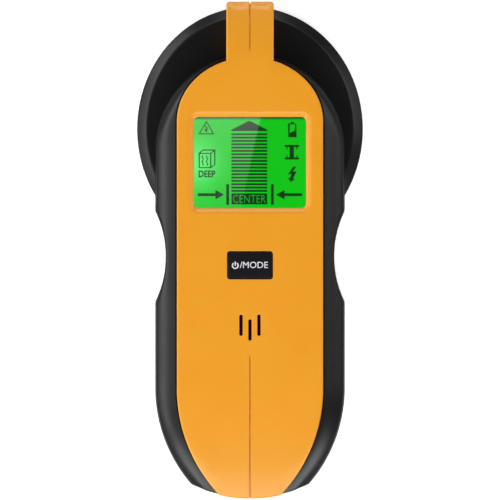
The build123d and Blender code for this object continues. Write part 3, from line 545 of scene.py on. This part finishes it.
display = {  # the lit panel, from its left to its right: the backlight's glow, with a paler left side and a bright spot at the left edge that are painted reflection of the studio lights
    "left": srgb(34, 214, 52),
    "right": srgb(1, 204, 12),
    "low": srgb(8, 150, 18),
    # spot: painted reflection, a pale bright patch near the left edge
    "spot": srgb(92, 246, 112),
    "paintedReflectionPlace": (-16.5 * mm, -0.5 * mm),
    "paintedReflectionReach": 11 * mm,
    "glow": 1.04,
    "gloss": {"Coat Weight": 1.0, "Coat Roughness": 0.02, "Specular IOR Level": 0.0},
}


def makeDisplayGlass():
    finish, tree, shader = newFinish("displayGlass", {"Emission Strength": display["glow"], **display["gloss"]})
    place = objectPlace(tree)
    parts = node(tree, "ShaderNodeSeparateXYZ", {0: place})
    halfX, topY = window["half"][0], windowMiddle[1] + window["half"][1]
    # paler towards the left: painted reflection laid over the backlight glow
    across = remap(tree, parts.outputs["X"], windowMiddle[0] - halfX, windowMiddle[0] + halfX * 0.3)
    grain = placeGroup(tree, mouldGrain, Grain_Scale=2000, Mottle_Scale=45)
    lit = mixColour(tree, across, display["left"], display["right"])
    uneven = remap(tree, grain.outputs["Mottle"], 0.0, 1.0, 0.0, 0.12)
    lit = mixColour(tree, uneven, lit, display["low"])
    shadow = remap(tree, parts.outputs["Y"], topY - 1.0 * mm, topY - 0.2 * mm)
    lit = mixColour(tree, shadow, lit, srgb(20, 84, 26))
    # a bright spot near the left edge: painted reflection
    centre = (windowMiddle[0] + display["paintedReflectionPlace"][0], windowMiddle[1] + display["paintedReflectionPlace"][1], panelHigh.z)
    away = node(tree, "ShaderNodeVectorMath", {0: place, 1: centre}, operation="DISTANCE")
    spot = remap(tree, away.outputs["Value"], display["paintedReflectionReach"], 0.0, interpolation_type="SMOOTHSTEP")
    lit = mixColour(tree, spot, lit, display["spot"])
    tree.links.new(lit, shader.inputs["Emission Color"])
    body = mixColour(tree, grain.outputs["Mottle"], srgb(4, 22, 6), srgb(3, 18, 5))
    dress(tree, shader, body, grain.outputs["Mottle"], (0.3, 0.4))
    return finish


def makeDisplayInk():  # switched-on segments
    finish, tree, shader = newFinish("displayInk", {"Emission Strength": 1.0, **display["gloss"]})
    grain = placeGroup(tree, mouldGrain, Grain_Scale=2000, Mottle_Scale=120)
    ink = mixColour(tree, grain.outputs["Mottle"], srgb(6, 50, 8), srgb(2, 42, 4))
    tree.links.new(ink, shader.inputs["Emission Color"])
    dress(tree, shader, ink, grain.outputs["Mottle"], (0.4, 0.5))
    return finish


def makeClearPane():
    finish, tree, shader = newFinish("clearPane", {"Transmission Weight": 1.0, "IOR": 1.49, "Metallic": 0.0,
                                                   "Specular IOR Level": 0.04})
    grain = placeGroup(tree, mouldGrain, Grain_Scale=1500, Mottle_Scale=70)
    clear = mixColour(tree, grain.outputs["Mottle"], (1.0, 1.0, 1.0, 1.0), (0.97, 0.985, 0.97, 1.0))
    dress(tree, shader, clear, grain.outputs["Mottle"], (0.0, 0.006))
    return finish


def makeSlotShadeRed():  # a plain weave in dark red, painted shade for the inside of the sound slots
    finish, tree, shader = newFinish("slotShadeRed", {"Specular IOR Level": 0.1})
    place = objectPlace(tree)
    weave = node(tree, "ShaderNodeTexChecker", {"Vector": place, "Scale": 9000.0})
    colour = mixColour(tree, weave.outputs["Fac"], srgb(46, 7, 3), srgb(24, 3, 2))
    dress(tree, shader, colour, weave.outputs["Fac"], (0.95, 0.85),
          weave.outputs["Fac"], 0.6, 0.05 * mm)
    return finish


slotShadeRed = makeSlotShadeRed()
boardGreen, copperWinding, foam, felt = makeBoardGreen(), makeCopperWinding(), makeFoam(), makeFelt()
displayGlass, displayInk, clearPane = makeDisplayGlass(), makeDisplayInk(), makeClearPane()
print("finishes made")

scallop = {  # barrels that cut the finger grips
    "radius": 30.2 * mm,
    "bulge": 1.2 * mm,
    "depth": 2.75 * mm,
    "y": -1.9 * mm,
    "soft": 0.9 * mm,
}
head = {  # round sensor head
    "middleY": 36 * mm,
    "bevelStart": 0.4 * mm,
    "bevelWidth": 2.8 * mm,
    "ringZ": 9 * mm,
    "reach": 17 * mm,
}
headHalf = (shellHigh.x, shellHigh.y - head["middleY"])


def scallopLimit(y, z):  # half width that a finger grip leaves
    middle = faceZ / 2
    radius = scallop["radius"] + scallop["bulge"] * max(0.0, 1 - ((z - middle) / (faceZ / 2 + mm)) ** 2)
    axisX = case["handleHalf"] - scallop["depth"] + scallop["radius"]
    off = y - scallop["y"]
    return axisX - sqrt(radius ** 2 - off ** 2) if abs(off) < radius else 1.0


def gripped(x, y, z):  # draws a point in where the grip has cut, with a rounded edge
    limit, soft = scallopLimit(y, z), scallop["soft"]
    lap = max(soft - abs(abs(x) - limit), 0) / soft
    width = min(abs(x), limit) - lap * lap * soft / 4
    return (width if x > 0 else -width) if abs(x) > 15 * mm else x


def caseRow(bm, share, inset, z, wallTop):
    row = []
    for x, y in handlePlan(share, inset):
        fall = dropAt(y) * min(1.0, max(0.0, (z - partingZ) / (wallTop - partingZ)))
        row.append(bm.verts.new((gripped(x, y, z - fall), y, z - fall)))
    return row


def makeFrontCase():
    bm = bmesh.new()
    wallTop = shellTop - case["shoulder"]
    rows = [caseRow(bm, 0, case["seam"], partingZ, wallTop)]
    for i in range(13):
        z = mix(partingZ + case["seam"], wallTop - 0.25 * mm, i / 12)
        rows.append(caseRow(bm, 0, case["wallDraft"] * i / 12, z, wallTop))
    rows.append(caseRow(bm, 0, case["wallDraft"] + 0.05 * mm, wallTop, wallTop))
    steep, shallow = radians(case["steepest"]), radians(case["shallowest"])
    for step in range(1, 25):
        tilt = mix(steep, shallow, step / 24)
        across = (sin(steep) - sin(tilt)) / (sin(steep) - sin(shallow))
        rise = (cos(tilt) - cos(steep)) / (cos(shallow) - cos(steep))
        rows.append(caseRow(bm, across, case["wallDraft"] * (1 - step / 24),
                            wallTop + (case["shoulder"] - 0.12 * mm) * rise, wallTop))
    for inset, down in ((0.04 * mm, 0.16 * mm), (0.05 * mm, 0.4 * mm), (0.05 * mm, 1.4 * mm)):
        rows.append(caseRow(bm, 1, inset, shellTop - down, wallTop))
    stitch(bm, rows)
    bevelZ = partingZ + head["bevelStart"]
    profile = [(case["seam"], partingZ), (0.0, partingZ + case["seam"]), (0.02 * mm, bevelZ - 0.1 * mm),
               (0.12 * mm, bevelZ + 0.12 * mm), (0.3 * mm, bevelZ + 0.3 * mm),
               (head["bevelWidth"] - 0.45 * mm, head["ringZ"] - 0.37 * mm),
               (head["bevelWidth"] - 0.15 * mm, head["ringZ"] - 0.13 * mm),
               (head["bevelWidth"] + 0.15 * mm, head["ringZ"] - 0.02 * mm),
               (head["bevelWidth"] + 0.6 * mm, head["ringZ"]), (head["reach"], head["ringZ"])]
    rings = []
    for inset, z in profile:
        rings.append([bm.verts.new(((headHalf[0] - inset) * cos(2 * pi * i / 240),
                                    head["middleY"] + (headHalf[1] - inset) * sin(2 * pi * i / 240), z))
                      for i in range(240)])
    stitch(bm, rings)
    return addPiece("frontCase", bm, blackPlastic, "case", ["front_shell"], 50)


makeFrontCase()

keyMiddle = ((keyLow.x + keyHigh.x) / 2, (keyLow.y + keyHigh.y) / 2)
key = {
    "half": (6.55 * mm, 3.95 * mm),
    "corner": 0.6 * mm,
    "clearance": 0.2 * mm,
    "edge": 0.3 * mm,
    "crown": 0.12 * mm,
}
slots = {
    "half": (0.5 * mm, 3.15 * mm),
    "pitch": 2.65 * mm,
    "y": -22.2 * mm,
    "middleShift": -1.4 * mm,
}


def slotLoops(grow=0.0):
    half = (slots["half"][0] + grow, slots["half"][1] + grow)
    return [roundedBox((place * slots["pitch"], slots["y"] + (0 if place else slots["middleShift"])),
                       half, half[0] * 0.98, 6) for place in (-1, 0, 1)]


def keyHole():
    half = (key["half"][0] + key["clearance"], key["half"][1] + key["clearance"])
    return roundedBox(keyMiddle, half, key["corner"] + key["clearance"])


def makeFaceSeat():  # the black ledge that the orange face lies on, with its openings
    bm = bmesh.new()
    ledge = (window["half"][0] + 0.5 * mm, window["half"][1] + 0.5 * mm)
    outline = handlePlan(1, 0.0)
    edge = [(0.0, 0), (0.0, 2 * mm)]
    loops = [(outline[::3], edge, None, None), (roundedBox(windowMiddle, ledge, window["corner"]), edge, None, None),
             (keyHole(), edge, None, None)]
    loops += [(loop, edge, None, None) for loop in slotLoops(0.45 * mm)]
    plate(bm, loops, lambda x, y: seatZ - 0.02 * mm - dropAt(y), 4 * mm)
    return addPiece("faceSeat", bm, blackPlastic, "case", ())


makeFaceSeat()


def makeSlotShadeSheet():  # a dark red woven sheet under the sound slots, which paints the shade inside them
    bm = bmesh.new()
    sheet = roundedBox((0.0, slots["y"] + slots["middleShift"] / 2), (4.4 * mm, 4.8 * mm), 1 * mm)[::-1]
    plate(bm, [(sheet, [(0.1 * mm, 0), (0, 0.01 * mm)], None, None)],
          lambda x, y: seatZ + 0.02 * mm - dropAt(y), 2 * mm)
    return addPiece("slotShadeSheet", bm, slotShadeRed, "case")


makeSlotShadeSheet()


def coverPlan():  # left half from the nose groove to the tail groove, then mirrored
    nib, grooveHalf = 0.9 * mm, cover["grooveHalf"]
    left = [(-grooveHalf, cover["upperGrooveEnd"] + (noseY - cover["upperGrooveEnd"]) * i / 12) for i in range(13)]
    left += [(-mix(grooveHalf, cover["bandHalf"] - nib, i / 6), noseY) for i in range(1, 7)]
    left += [(-(cover["bandHalf"] - nib) - nib * sin(radians(15 * i)), noseY - nib + nib * cos(radians(15 * i)))
             for i in range(1, 7)]
    rootY = cover["domeY"] + cover["domeRise"] * sqrt(1 - (cover["bandHalf"] / cover["half"]) ** 2)
    left += [(-cover["bandHalf"], mix(noseY - nib, rootY, i / 16)) for i in range(1, 17)]
    start = atan2((rootY - cover["domeY"]) / cover["domeRise"], -cover["bandHalf"] / cover["half"])
    turns = [mix(start, pi, i / 44) for i in range(1, 45)]
    left += [(cover["half"] * cos(turn), cover["domeY"] + cover["domeRise"] * sin(turn)) for turn in turns]
    left += [(-cover["half"], mix(cover["domeY"], case["taperStart"], i / 50)) for i in range(1, 51)]
    endY = tailArc(cover["tailHalf"])
    left += bow((-cover["half"], case["taperStart"]), (0, -1), (-cover["tailHalf"], endY), 36)[1:]
    left += [p for p in tailCurve(cover["tailHalf"], endY, tailY, 12)[1:] if p[0] < -grooveHalf * 1.5]
    left += [(-grooveHalf, tailArc(grooveHalf))]
    left += [(-grooveHalf, mix(tailArc(grooveHalf), cover["lowerGrooveStart"], i / 34)) for i in range(1, 35)]
    return mirrored(left)


def faceTop(x, y):
    return faceZ - dropAt(y)


def coverBottom(x, y):  # the sides reach the head along the band, and wrap down the tail
    if y > cover["domeY"] + cover["domeRise"] * 0.5 and abs(x) < cover["bandHalf"] + 0.1 * mm:
        shoulder = cover["domeY"] + cover["domeRise"] + 0.9 * mm
        if y < shoulder:
            return faceTop(x, y) - cover["thickness"]
        return head["ringZ"] + 0.1 * mm if y < noseY - 2 * mm else coverLow.z
    if y < tailArc(x) + 0.2 * mm and abs(x) < cover["tailHalf"] + 0.1 * mm:
        return faceZ - case["tailDrop"] - cover["lip"]
    return faceTop(x, y) - cover["thickness"] + 0.05 * mm


def grooveSide(x, y):  # the groove's edges stay almost sharp
    return 0.14 if abs(x) < cover["grooveHalf"] * 1.2 else 1.0


def makeFaceCover():
    bm = bmesh.new()
    edge = roundedEdge(cover["edge"], cover["thickness"])
    bevel = window["bevel"]
    windowEdge = [(bevel + 0.75 * mm, 0), (bevel + 0.35 * mm, 0), (bevel + 0.2 * mm, 0.03 * mm),
                  (bevel, 0.08 * mm), (bevel - 0.25 * mm, 0.2 * mm), (0.4 * mm, 0.58 * mm),
                  (0.18 * mm, 0.74 * mm), (0.05 * mm, 0.95 * mm), (0, 1.15 * mm), (0, cover["thickness"])]
    hole = roundedEdge(0.12 * mm, cover["thickness"], 4)
    hole[0] = (0.4 * mm, 0)
    loops = [(coverPlan(), edge, coverBottom, grooveSide),
             (roundedBox(windowMiddle, window["half"], window["corner"], 10), windowEdge, None, None),
             (keyHole(), hole, None, None)]
    loops += [(loop, hole, None, None) for loop in slotLoops()]
    plate(bm, loops, faceTop)
    # the floors of the two grooves, and the inner skin of the nose wall
    for startY, endY in ((cover["upperGrooveEnd"] - 0.2 * mm, noseY), (tailY, cover["lowerGrooveStart"] + 0.2 * mm)):
        wide, depth = cover["grooveHalf"] * 3, cover["grooveDepth"]
        ys = [mix(startY, endY, i / 30) for i in range(31)]
        rows = [[bm.verts.new((sx * wide, y + (-depth if y > noseY - depth else depth if y < tailY + depth else 0),
                               faceTop(0, y) - depth)) for y in ys] for sx in (-1, 1)]
        outer = -1 if endY == noseY else 0
        for row in rows:
            tip = row[outer].co
            low = head["ringZ"] if outer else faceZ - case["tailDrop"] - cover["lip"]
            row.insert(len(row) if outer else 0, bm.verts.new((tip.x, tip.y, low)))
        stitch(bm, rows, closed=False)
    return addPiece("faceCover", bm, orangePlastic, "case", ["front_cover"])


makeFaceCover()
print("case and face made")


def makeModeKey():
    bm = bmesh.new()
    outline = roundedBox(keyMiddle, key["half"], key["corner"])[::-1]
    top = keyHigh.z - 0.04 * mm

    def crowned(x, y):
        across = ((x - keyMiddle[0]) / key["half"][0]) ** 2 + ((y - keyMiddle[1]) / key["half"][1]) ** 2
        return top - key["crown"] * across * 0.5

    plate(bm, [(outline, roundedEdge(key["edge"], keyHigh.z - keyLow.z), lambda x, y: keyLow.z + 1 * mm, None)],
          crowned, 0.9 * mm)
    flange = roundedBox(keyMiddle, (keyHigh.x - keyMiddle[0], keyHigh.y - keyMiddle[1]), 1.8 * mm)[::-1]
    plate(bm, [(flange, roundedEdge(0.15 * mm, 1 * mm, 3), lambda x, y: keyLow.z, None)],
          lambda x, y: keyLow.z + 1 * mm, 3 * mm)
    return addPiece("modeKey", bm, keyRubber, "key", ["mode_key"])


makeModeKey()
keyFace = keyHigh.z - 0.03 * mm


def addStroke(bm, points, width, z, closed=False):  # a flat line of even width
    rows = []
    for i, (x, y) in enumerate(points):
        before = points[i - 1] if i or closed else points[i]
        after = points[(i + 1) % len(points)] if i + 1 < len(points) or closed else points[i]
        ahead = Vector((after[0] - before[0], after[1] - before[1])).normalized()
        inward = Vector((x - before[0], y - before[1]))
        reach = 1.0
        if inward.length > 1e-9 and (after != points[i]):
            reach = 1 / max(0.5, abs(inward.normalized().dot(ahead)))
        side = Vector((-ahead.y, ahead.x)) * width / 2 * reach
        rows.append((bm.verts.new((x + side.x, y + side.y, z)), bm.verts.new((x - side.x, y - side.y, z))))
    pairs = list(zip(rows, rows[1:])) + ([(rows[-1], rows[0])] if closed else [])
    for first, second in pairs:
        bm.faces.new((first[0], first[1], second[1], second[0]))


def addShape(bm, points, z):
    bm.faces.new([bm.verts.new((x, y, z)) for x, y in points])


def addWords(bm, words, middle, size, z, weight=0.0):  # lettering stretched to size
    curve = bpy.data.curves.new("lettering", "FONT")
    curve.body = words
    curve.offset = weight
    curve.resolution_u = 3
    helper = bpy.data.objects.new("lettering", curve)
    mesh = bpy.data.meshes.new_from_object(helper)
    xs, ys = [v.co.x for v in mesh.vertices], [v.co.y for v in mesh.vertices]
    scale = (size[0] / (max(xs) - min(xs)), size[1] / (max(ys) - min(ys)))
    verts = [bm.verts.new(((v.co.x - min(xs)) * scale[0] + middle[0] - size[0] / 2,
                           (v.co.y - min(ys)) * scale[1] + middle[1] - size[1] / 2, z)) for v in mesh.vertices]
    for polygon in mesh.polygons:
        bm.faces.new([verts[i] for i in polygon.vertices])
    bpy.data.objects.remove(helper)
    bpy.data.curves.remove(curve)
    bpy.data.meshes.remove(mesh)


keyPrint = {
    "symbol": (-4.35 * mm, -0.08 * mm),
    "symbolRadius": 0.85 * mm,
    "stroke": 0.36 * mm,
    "words": "/MODE",
    "wordsMiddle": (1.15 * mm, 0.1 * mm),
    "wordsSize": (8.3 * mm, 1.9 * mm),
}


def makeKeyPrint():
    bm = bmesh.new()
    cx, cy = keyMiddle[0] + keyPrint["symbol"][0], keyMiddle[1] + keyPrint["symbol"][1]
    radius = keyPrint["symbolRadius"]
    ring = [(cx + radius * cos(radians(125 + 290 * i / 24)), cy + radius * sin(radians(125 + 290 * i / 24)))
            for i in range(25)]
    addStroke(bm, ring, keyPrint["stroke"], keyFace)
    addStroke(bm, [(cx, cy - 0.1 * mm), (cx, cy + radius + 0.35 * mm)], keyPrint["stroke"], keyFace)
    middle = [whole + part for whole, part in zip(keyMiddle, keyPrint["wordsMiddle"])]
    addWords(bm, keyPrint["words"], middle, keyPrint["wordsSize"], keyFace, 0.004)
    return addPiece("keyPrint", bm, printWhite, "key")


makeKeyPrint()

graphics = {  # in millimetres, from the middle of the window
    "columnX": -0.2,
    "columnHalf": 5.3,
    "apexY": 12.4,
    "eavesY": 9.3,
    "barTop": 8.65,
    "barPitch": 0.985,
    "bars": 18,
    "barHeight": 0.58,
    "boxTop": -9.1,
    "boxBottom": -12.35,
    "arrowY": -9.5,
    "shaft": 0.42,
    "line": 0.32,
    "lift": 0.03 * mm,
}


def makeDisplayMarks():
    bm = bmesh.new()
    z = panelHigh.z + graphics["lift"]
    g = graphics

    def at(points):
        return [(windowMiddle[0] + x * mm, windowMiddle[1] + y * mm) for x, y in points]

    def shape(*points):
        addShape(bm, at(points), z)

    def bar(left, low, right, high):
        shape((left, low), (right, low), (right, high), (left, high))

    def line(points, width=g["line"], closed=False):
        addStroke(bm, at(points), width * mm, z, closed)

    left, right = g["columnX"] - g["columnHalf"], g["columnX"] + g["columnHalf"]
    shape((left, g["eavesY"]), (right, g["eavesY"]), (right, g["eavesY"] + 0.4), (g["columnX"], g["apexY"]),
          (left, g["eavesY"] + 0.4))
    for i in range(g["bars"]):
        top = g["barTop"] - i * g["barPitch"]
        bar(left, top - g["barHeight"], right, top)
    bar(left, g["boxBottom"], right, g["boxTop"])  # the letters are laid over this dark box
    for side in (-1, 1):
        post, tip, root, far = side * 6.6, side * 7.7, side * 10.2, side * 15.4
        bar(post - 0.42, -12.5, post + 0.42, -6.4)
        y, shaft = g["arrowY"], g["shaft"]
        points = [(tip, y), (root, y + 1.4), (root, y + shaft), (far, y + shaft), (far, y - shaft), (root, y - shaft),
                  (root, y - 1.4)]
        shape(*points[::-side])
    # live wire sign: a triangle with a bolt in it
    line([(-15.0, 8.5), (-10.8, 8.5), (-12.9, 12.1)], closed=True)
    line([(-13.3, 10.9), (-12.6, 10.0), (-13.2, 9.8), (-12.7, 9.0)], 0.4)
    # wall block with two wavy grain lines, and the word for deep search
    line([(-15.0, -1.5), (-11.6, -1.5), (-11.6, 2.7), (-15.0, 2.7)], closed=True)
    line([(-15.0, 2.7), (-13.9, 3.7), (-10.4, 3.7), (-10.4, -0.6), (-11.6, -1.5)])
    line([(-11.6, 2.7), (-10.4, 3.7)])
    for x in (-14.0, -12.7):
        line([(x + 0.16 * sin(i * 1.2), mix(-0.9, 2.1, i / 10)) for i in range(11)], 0.28)
    addWords(bm, "DEEP", at([(-12.7, -3.35)])[0], (5.0 * mm, 2.0 * mm), z, 0.03)
    # battery
    line([(11.5, 7.6), (13.5, 7.6), (13.5, 11.4), (11.5, 11.4)], closed=True)
    bar(12.0, 11.5, 13.0, 12.0)
    shape((11.5, 7.6), (13.5, 7.6), (13.5, 9.6), (11.5, 8.6))
    # metal beam
    for corners in ((10.3, 4.6, 14.5, 5.2), (10.3, 0.9, 14.5, 1.5), (11.7, 1.4, 13.0, 4.7), (10.8, 3.9, 11.1, 4.7),
                    (13.7, 3.9, 14.0, 4.7), (10.8, 1.4, 11.1, 2.2), (13.7, 1.4, 14.0, 2.2)):
        bar(*corners)
    # mains bolt
    shape((12.8, -1.2), (11.2, -3.5), (12.3, -3.4), (11.8, -4.6), (11.1, -4.4), (12.1, -5.8), (13.3, -4.8),
          (12.7, -4.7), (13.8, -2.6), (12.6, -2.7), (13.7, -1.2))
    return addPiece("displayMarks", bm, displayInk, "case")


def makeDisplayWord():  # lit letters in the dark box
    bm = bmesh.new()
    middle = (windowMiddle[0] + graphics["columnX"] * mm,
              windowMiddle[1] + (graphics["boxTop"] + graphics["boxBottom"]) / 2 * mm)
    addWords(bm, "CENTER", middle, (9.6 * mm, 2.3 * mm), panelHigh.z + 2 * graphics["lift"], -0.016)
    return addPiece("displayWord", bm, displayGlass, "case")


makeDisplayMarks()
makeDisplayWord()
print("key and display made")


def makeKeyDome():  # rubber dome under the key, in its resting shape; the real one gives way as the key goes down
    bm = bmesh.new()
    middle, foot = keyMiddle, (domeHigh.x - domeLow.x) / 2
    tall = domeHigh.z - domeLow.z
    profile = [(foot, 0), (foot, 0.12), (foot - 0.25 * mm, 0.2), (foot - 1.1 * mm, 0.7), (foot - 1.25 * mm, 0.8),
               (foot - 1.3 * mm, 1.0), (foot - 2.1 * mm, 1.0), (foot - 2.05 * mm, 0.8), (foot - 1.15 * mm, 0.15),
               (foot - 0.9 * mm, 0)]
    rows = [[bm.verts.new((middle[0] + r * cos(2 * pi * i / 48), middle[1] + r * sin(2 * pi * i / 48),
                           domeLow.z + tall * share)) for i in range(48)] for r, share in profile]
    stitch(bm, rows + rows[:1])
    piece = addPiece("keyDome", bm, greyRubber, "case", ["key_dome"])
    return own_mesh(piece)


def makeFoamPad():  # a strip of foam with soft edges that holds the battery
    bm = bmesh.new()
    middle = ((foamLow.x + foamHigh.x) / 2, (foamLow.y + foamHigh.y) / 2)
    half = ((foamHigh.x - foamLow.x) / 2, (foamHigh.y - foamLow.y) / 2)
    tall = foamHigh.z - foamLow.z
    outline = roundedBox(middle, half, 0.8 * mm)[::-1]

    def crowned(x, y):
        edge = min(1.0, (half[0] - abs(x - middle[0])) / (3 * mm), (half[1] - abs(y - middle[1])) / (3 * mm))
        return foamHigh.z - tall * 0.22 * (1 - max(0.0, edge)) ** 2 - 0.02 * mm * (1 + sin(x * 2600) * sin(y * 2100))

    plate(bm, [(outline, roundedEdge(0.3 * mm, tall), lambda x, y: foamLow.z, None)], crowned, 1.2 * mm)
    piece = addPiece("foamPad", bm, foam, "door", ["foam_pad"])
    return piece


def makeGlidePads():  # four felt strips with rounded edges
    bm = bmesh.new()
    places = [(-24 * mm, 38 * mm), (24 * mm, 38 * mm), (-20.5 * mm, -40 * mm), (20.5 * mm, -40 * mm)]
    half = (2 * mm, 9 * mm)
    for place in places:
        outline = roundedBox(place, half, 1.95 * mm)[::-1]
        rows = [[bm.verts.new((x, y, z)) for x, y in offsetLoop(outline, inset)]
                for inset, z in ((0.0, padHigh.z), (0.0, padLow.z + 0.25 * mm), (0.07 * mm, padLow.z + 0.1 * mm),
                                 (0.25 * mm, padLow.z + 0.01 * mm), (0.7 * mm, padLow.z))]
        stitch(bm, rows)
        bm.faces.new(rows[-1])
    bmesh.ops.triangulate(bm, faces=[f for f in bm.faces if len(f.verts) > 4])
    return addPiece("glidePads", bm, felt, "case", ["glide_pads"])


makeKeyDome()
makeFoamPad()
makeGlidePads()

carried = (  # CAD nodes that keep their shape, by finish
    (blackPlastic, ("rear_shell", "battery_door")), (clearPane, ("lcd_window",)), (displayGlass, ("lcd_panel",)),
    (whitePlastic, ("lcd_frame", "coil_former")), (greyRubber, ("zebra_strip",)), (guideAcrylic, ("backlight_guide",)),
    (ledGreen, ("backlight_leds",)), (carbonRubber, ("contact_pill",)), (ceramic, ("buzzer_ceramic",)),
    (brass, ("buzzer_disc", "header_pins")), (boardGreen, ("main_board", "sensor_board")),
    (copperWinding, ("sensor_coil",)), (capacitorSleeve, ("capacitors",)), (batteryJacket, ("battery",)),
    (componentBlack, ("battery_snap", "header_body", "controller_chip", "amplifier_chip", "voltage_regulator")),
    (platedSteel, ("battery_terminals",)), (wireRed, ("snap_wire_red",)), (wireBlack, ("snap_wire_black",)),
    (screwSteel, ("case_screws", "board_screws", "sensor_screws")),
)
for finish, names in carried:
    for name in names:
        piece = nodes[name]
        if not piece.material_slots:
            piece.data.materials.append(finish)
        for materialSlot in piece.material_slots:
            materialSlot.material = finish
print("carried nodes finished")

studio = {
    "cameraHeight": 2.5,
    "fieldAtFace": 147.6 * mm,
    "aim": (0.0, 0.0),
    "floorSize": 6.0,
    "floorGap": 0.05 * mm,
    "floorBounce": (0.26, 0.26, 0.26, 1),
    "floorLift": (0.6, 0.6, 0.6, 1),
}


def stageMesh(name, bm, finish):
    mesh = bpy.data.meshes.new(name)
    bm.to_mesh(mesh)
    bm.free()
    mesh.materials.append(finish)
    made = bpy.data.objects.new(name, mesh)
    bpy.context.scene.collection.objects.link(made)
    return made


def makeFloor():
    bm = bmesh.new()
    reach = studio["floorSize"] / 2
    addShape(bm, ((-reach, -reach), (reach, -reach), (reach, reach), (-reach, reach)), 0)
    finish, tree, shader = newFinish("floorPaper", {"Roughness": 0.9, "Specular IOR Level": 0.1})
    path = node(tree, "ShaderNodeLightPath")
    seen = path.outputs["Is Camera Ray"]
    grain = placeGroup(tree, mouldGrain, Grain_Scale=900, Mottle_Scale=4)
    pale = mixColour(tree, grain.outputs["Mottle"], (0.9, 0.9, 0.9, 1), (0.88, 0.88, 0.88, 1))
    tree.links.new(mixColour(tree, seen, studio["floorBounce"], pale), shader.inputs["Base Color"])
    tree.links.new(mixColour(tree, seen, (0, 0, 0, 1), studio["floorLift"]), shader.inputs["Emission Color"])
    under = node(tree, "ShaderNodeNewGeometry").outputs["Backfacing"]  # clear from below, to show the back
    unseen = node(tree, "ShaderNodeMath", {0: under, 1: path.outputs["Is Shadow Ray"]}, operation="MAXIMUM")
    shown = node(tree, "ShaderNodeMath", {0: 1.0, 1: unseen.outputs[0]}, operation="SUBTRACT")
    tree.links.new(shown.outputs[0], shader.inputs["Alpha"])
    shader.inputs["Emission Strength"].default_value = 1.0
    stageMesh("floor", bm, finish).location.z = cadLow.z - studio["floorGap"]


def addSoftbox(name, place, size, power):
    light = bpy.data.lights.new(name, "AREA")
    light.shape = "RECTANGLE"
    light.size, light.size_y = size
    light.energy = power
    box = bpy.data.objects.new(name, light)
    box.location = place
    box.rotation_euler = (Vector((0, 0, 0.01)) - Vector(place)).to_track_quat("-Z", "Y").to_euler()
    box.visible_camera = False
    bpy.context.scene.collection.objects.link(box)


def makeReflector():  # a bright card beside the lens, seen only in the window
    bm = bmesh.new()
    high = studio["cameraHeight"] + 0.02
    corners = ((-0.011, 0.0), (0.0088, 0.09), (-0.07, 0.09), (-0.07, 0.0))
    bm.faces.new([bm.verts.new((x, y, high)) for x, y in corners])
    finish, tree, shader = newFinish("reflectorPaper", {"Emission Strength": 0.85, "Base Color": (0, 0, 0, 1)})
    parts = node(tree, "ShaderNodeSeparateXYZ", {0: objectPlace(tree)})
    fade = remap(tree, parts.outputs["Y"], 0.022, 0.078)
    tree.links.new(mixColour(tree, fade, (0.2, 0.2, 0.2, 1), (1, 1, 1, 1)), shader.inputs["Emission Color"])
    card = stageMesh("reflector", bm, finish)
    card.visible_camera = card.visible_diffuse = False


def makeCamera():
    data = bpy.data.cameras.new("studioCamera")
    data.sensor_width = 36
    away = studio["cameraHeight"] - faceZ
    data.lens = 18 / (studio["fieldAtFace"] / 2 / away)
    data.clip_start, data.clip_end = 0.01, 20
    camera = bpy.data.objects.new("studioCamera", data)
    camera.location = (studio["aim"][0], studio["aim"][1], studio["cameraHeight"])
    camera.rotation_euler = (0, 0, 0)
    bpy.context.scene.collection.objects.link(camera)
    bpy.context.scene.camera = camera


def makeWorld():
    world = bpy.data.worlds.new("studioWorld")
    world.use_nodes = True
    world.node_tree.nodes["Background"].inputs["Color"].default_value = (1, 1, 1, 1)
    world.node_tree.nodes["Background"].inputs["Strength"].default_value = 0.07
    bpy.context.scene.world = world


makeFloor()
makeWorld()
for light in (  # name, place, size and power of each
        ("leftStrip", (-0.93, 0.1, 0.27), (1.1, 0.3), 4.0),
        ("rightStrip", (0.95, 0.25, 0.2), (0.6, 0.3), 0.8),
        ("headStrip", (-0.7, 0.65, 0.12), (0.4, 0.25), 1.0),
        ("tailLeftStrip", (-0.65, -0.7, 0.3), (0.5, 0.5), 4.2),
        ("tailRightStrip", (0.65, -0.7, 0.3), (0.5, 0.5), 4.4),
        ("noseStrip", (0.0, 0.95, 0.12), (0.5, 0.2), 0.9),
        ("leftUpper", (-0.75, 0.2, 0.75), (0.9, 0.6), 1.8),
        ("rightUpper", (0.8, 0.35, 0.65), (0.7, 0.6), 2.3),
        ("tailSoftbox", (-0.1, -0.7, 1.0), (1.1, 0.7), 7),
        ("underSoftbox", (0.0, 0.0, -0.9), (1.2, 1.2), 10),
        ("noseSoftbox", (0.0, 1.0, 0.6), (0.9, 0.3), 3)):
    addSoftbox(*light)
makeReflector()
makeCamera()
bpy.context.scene.view_settings.view_transform = "Standard"
print("studio made")
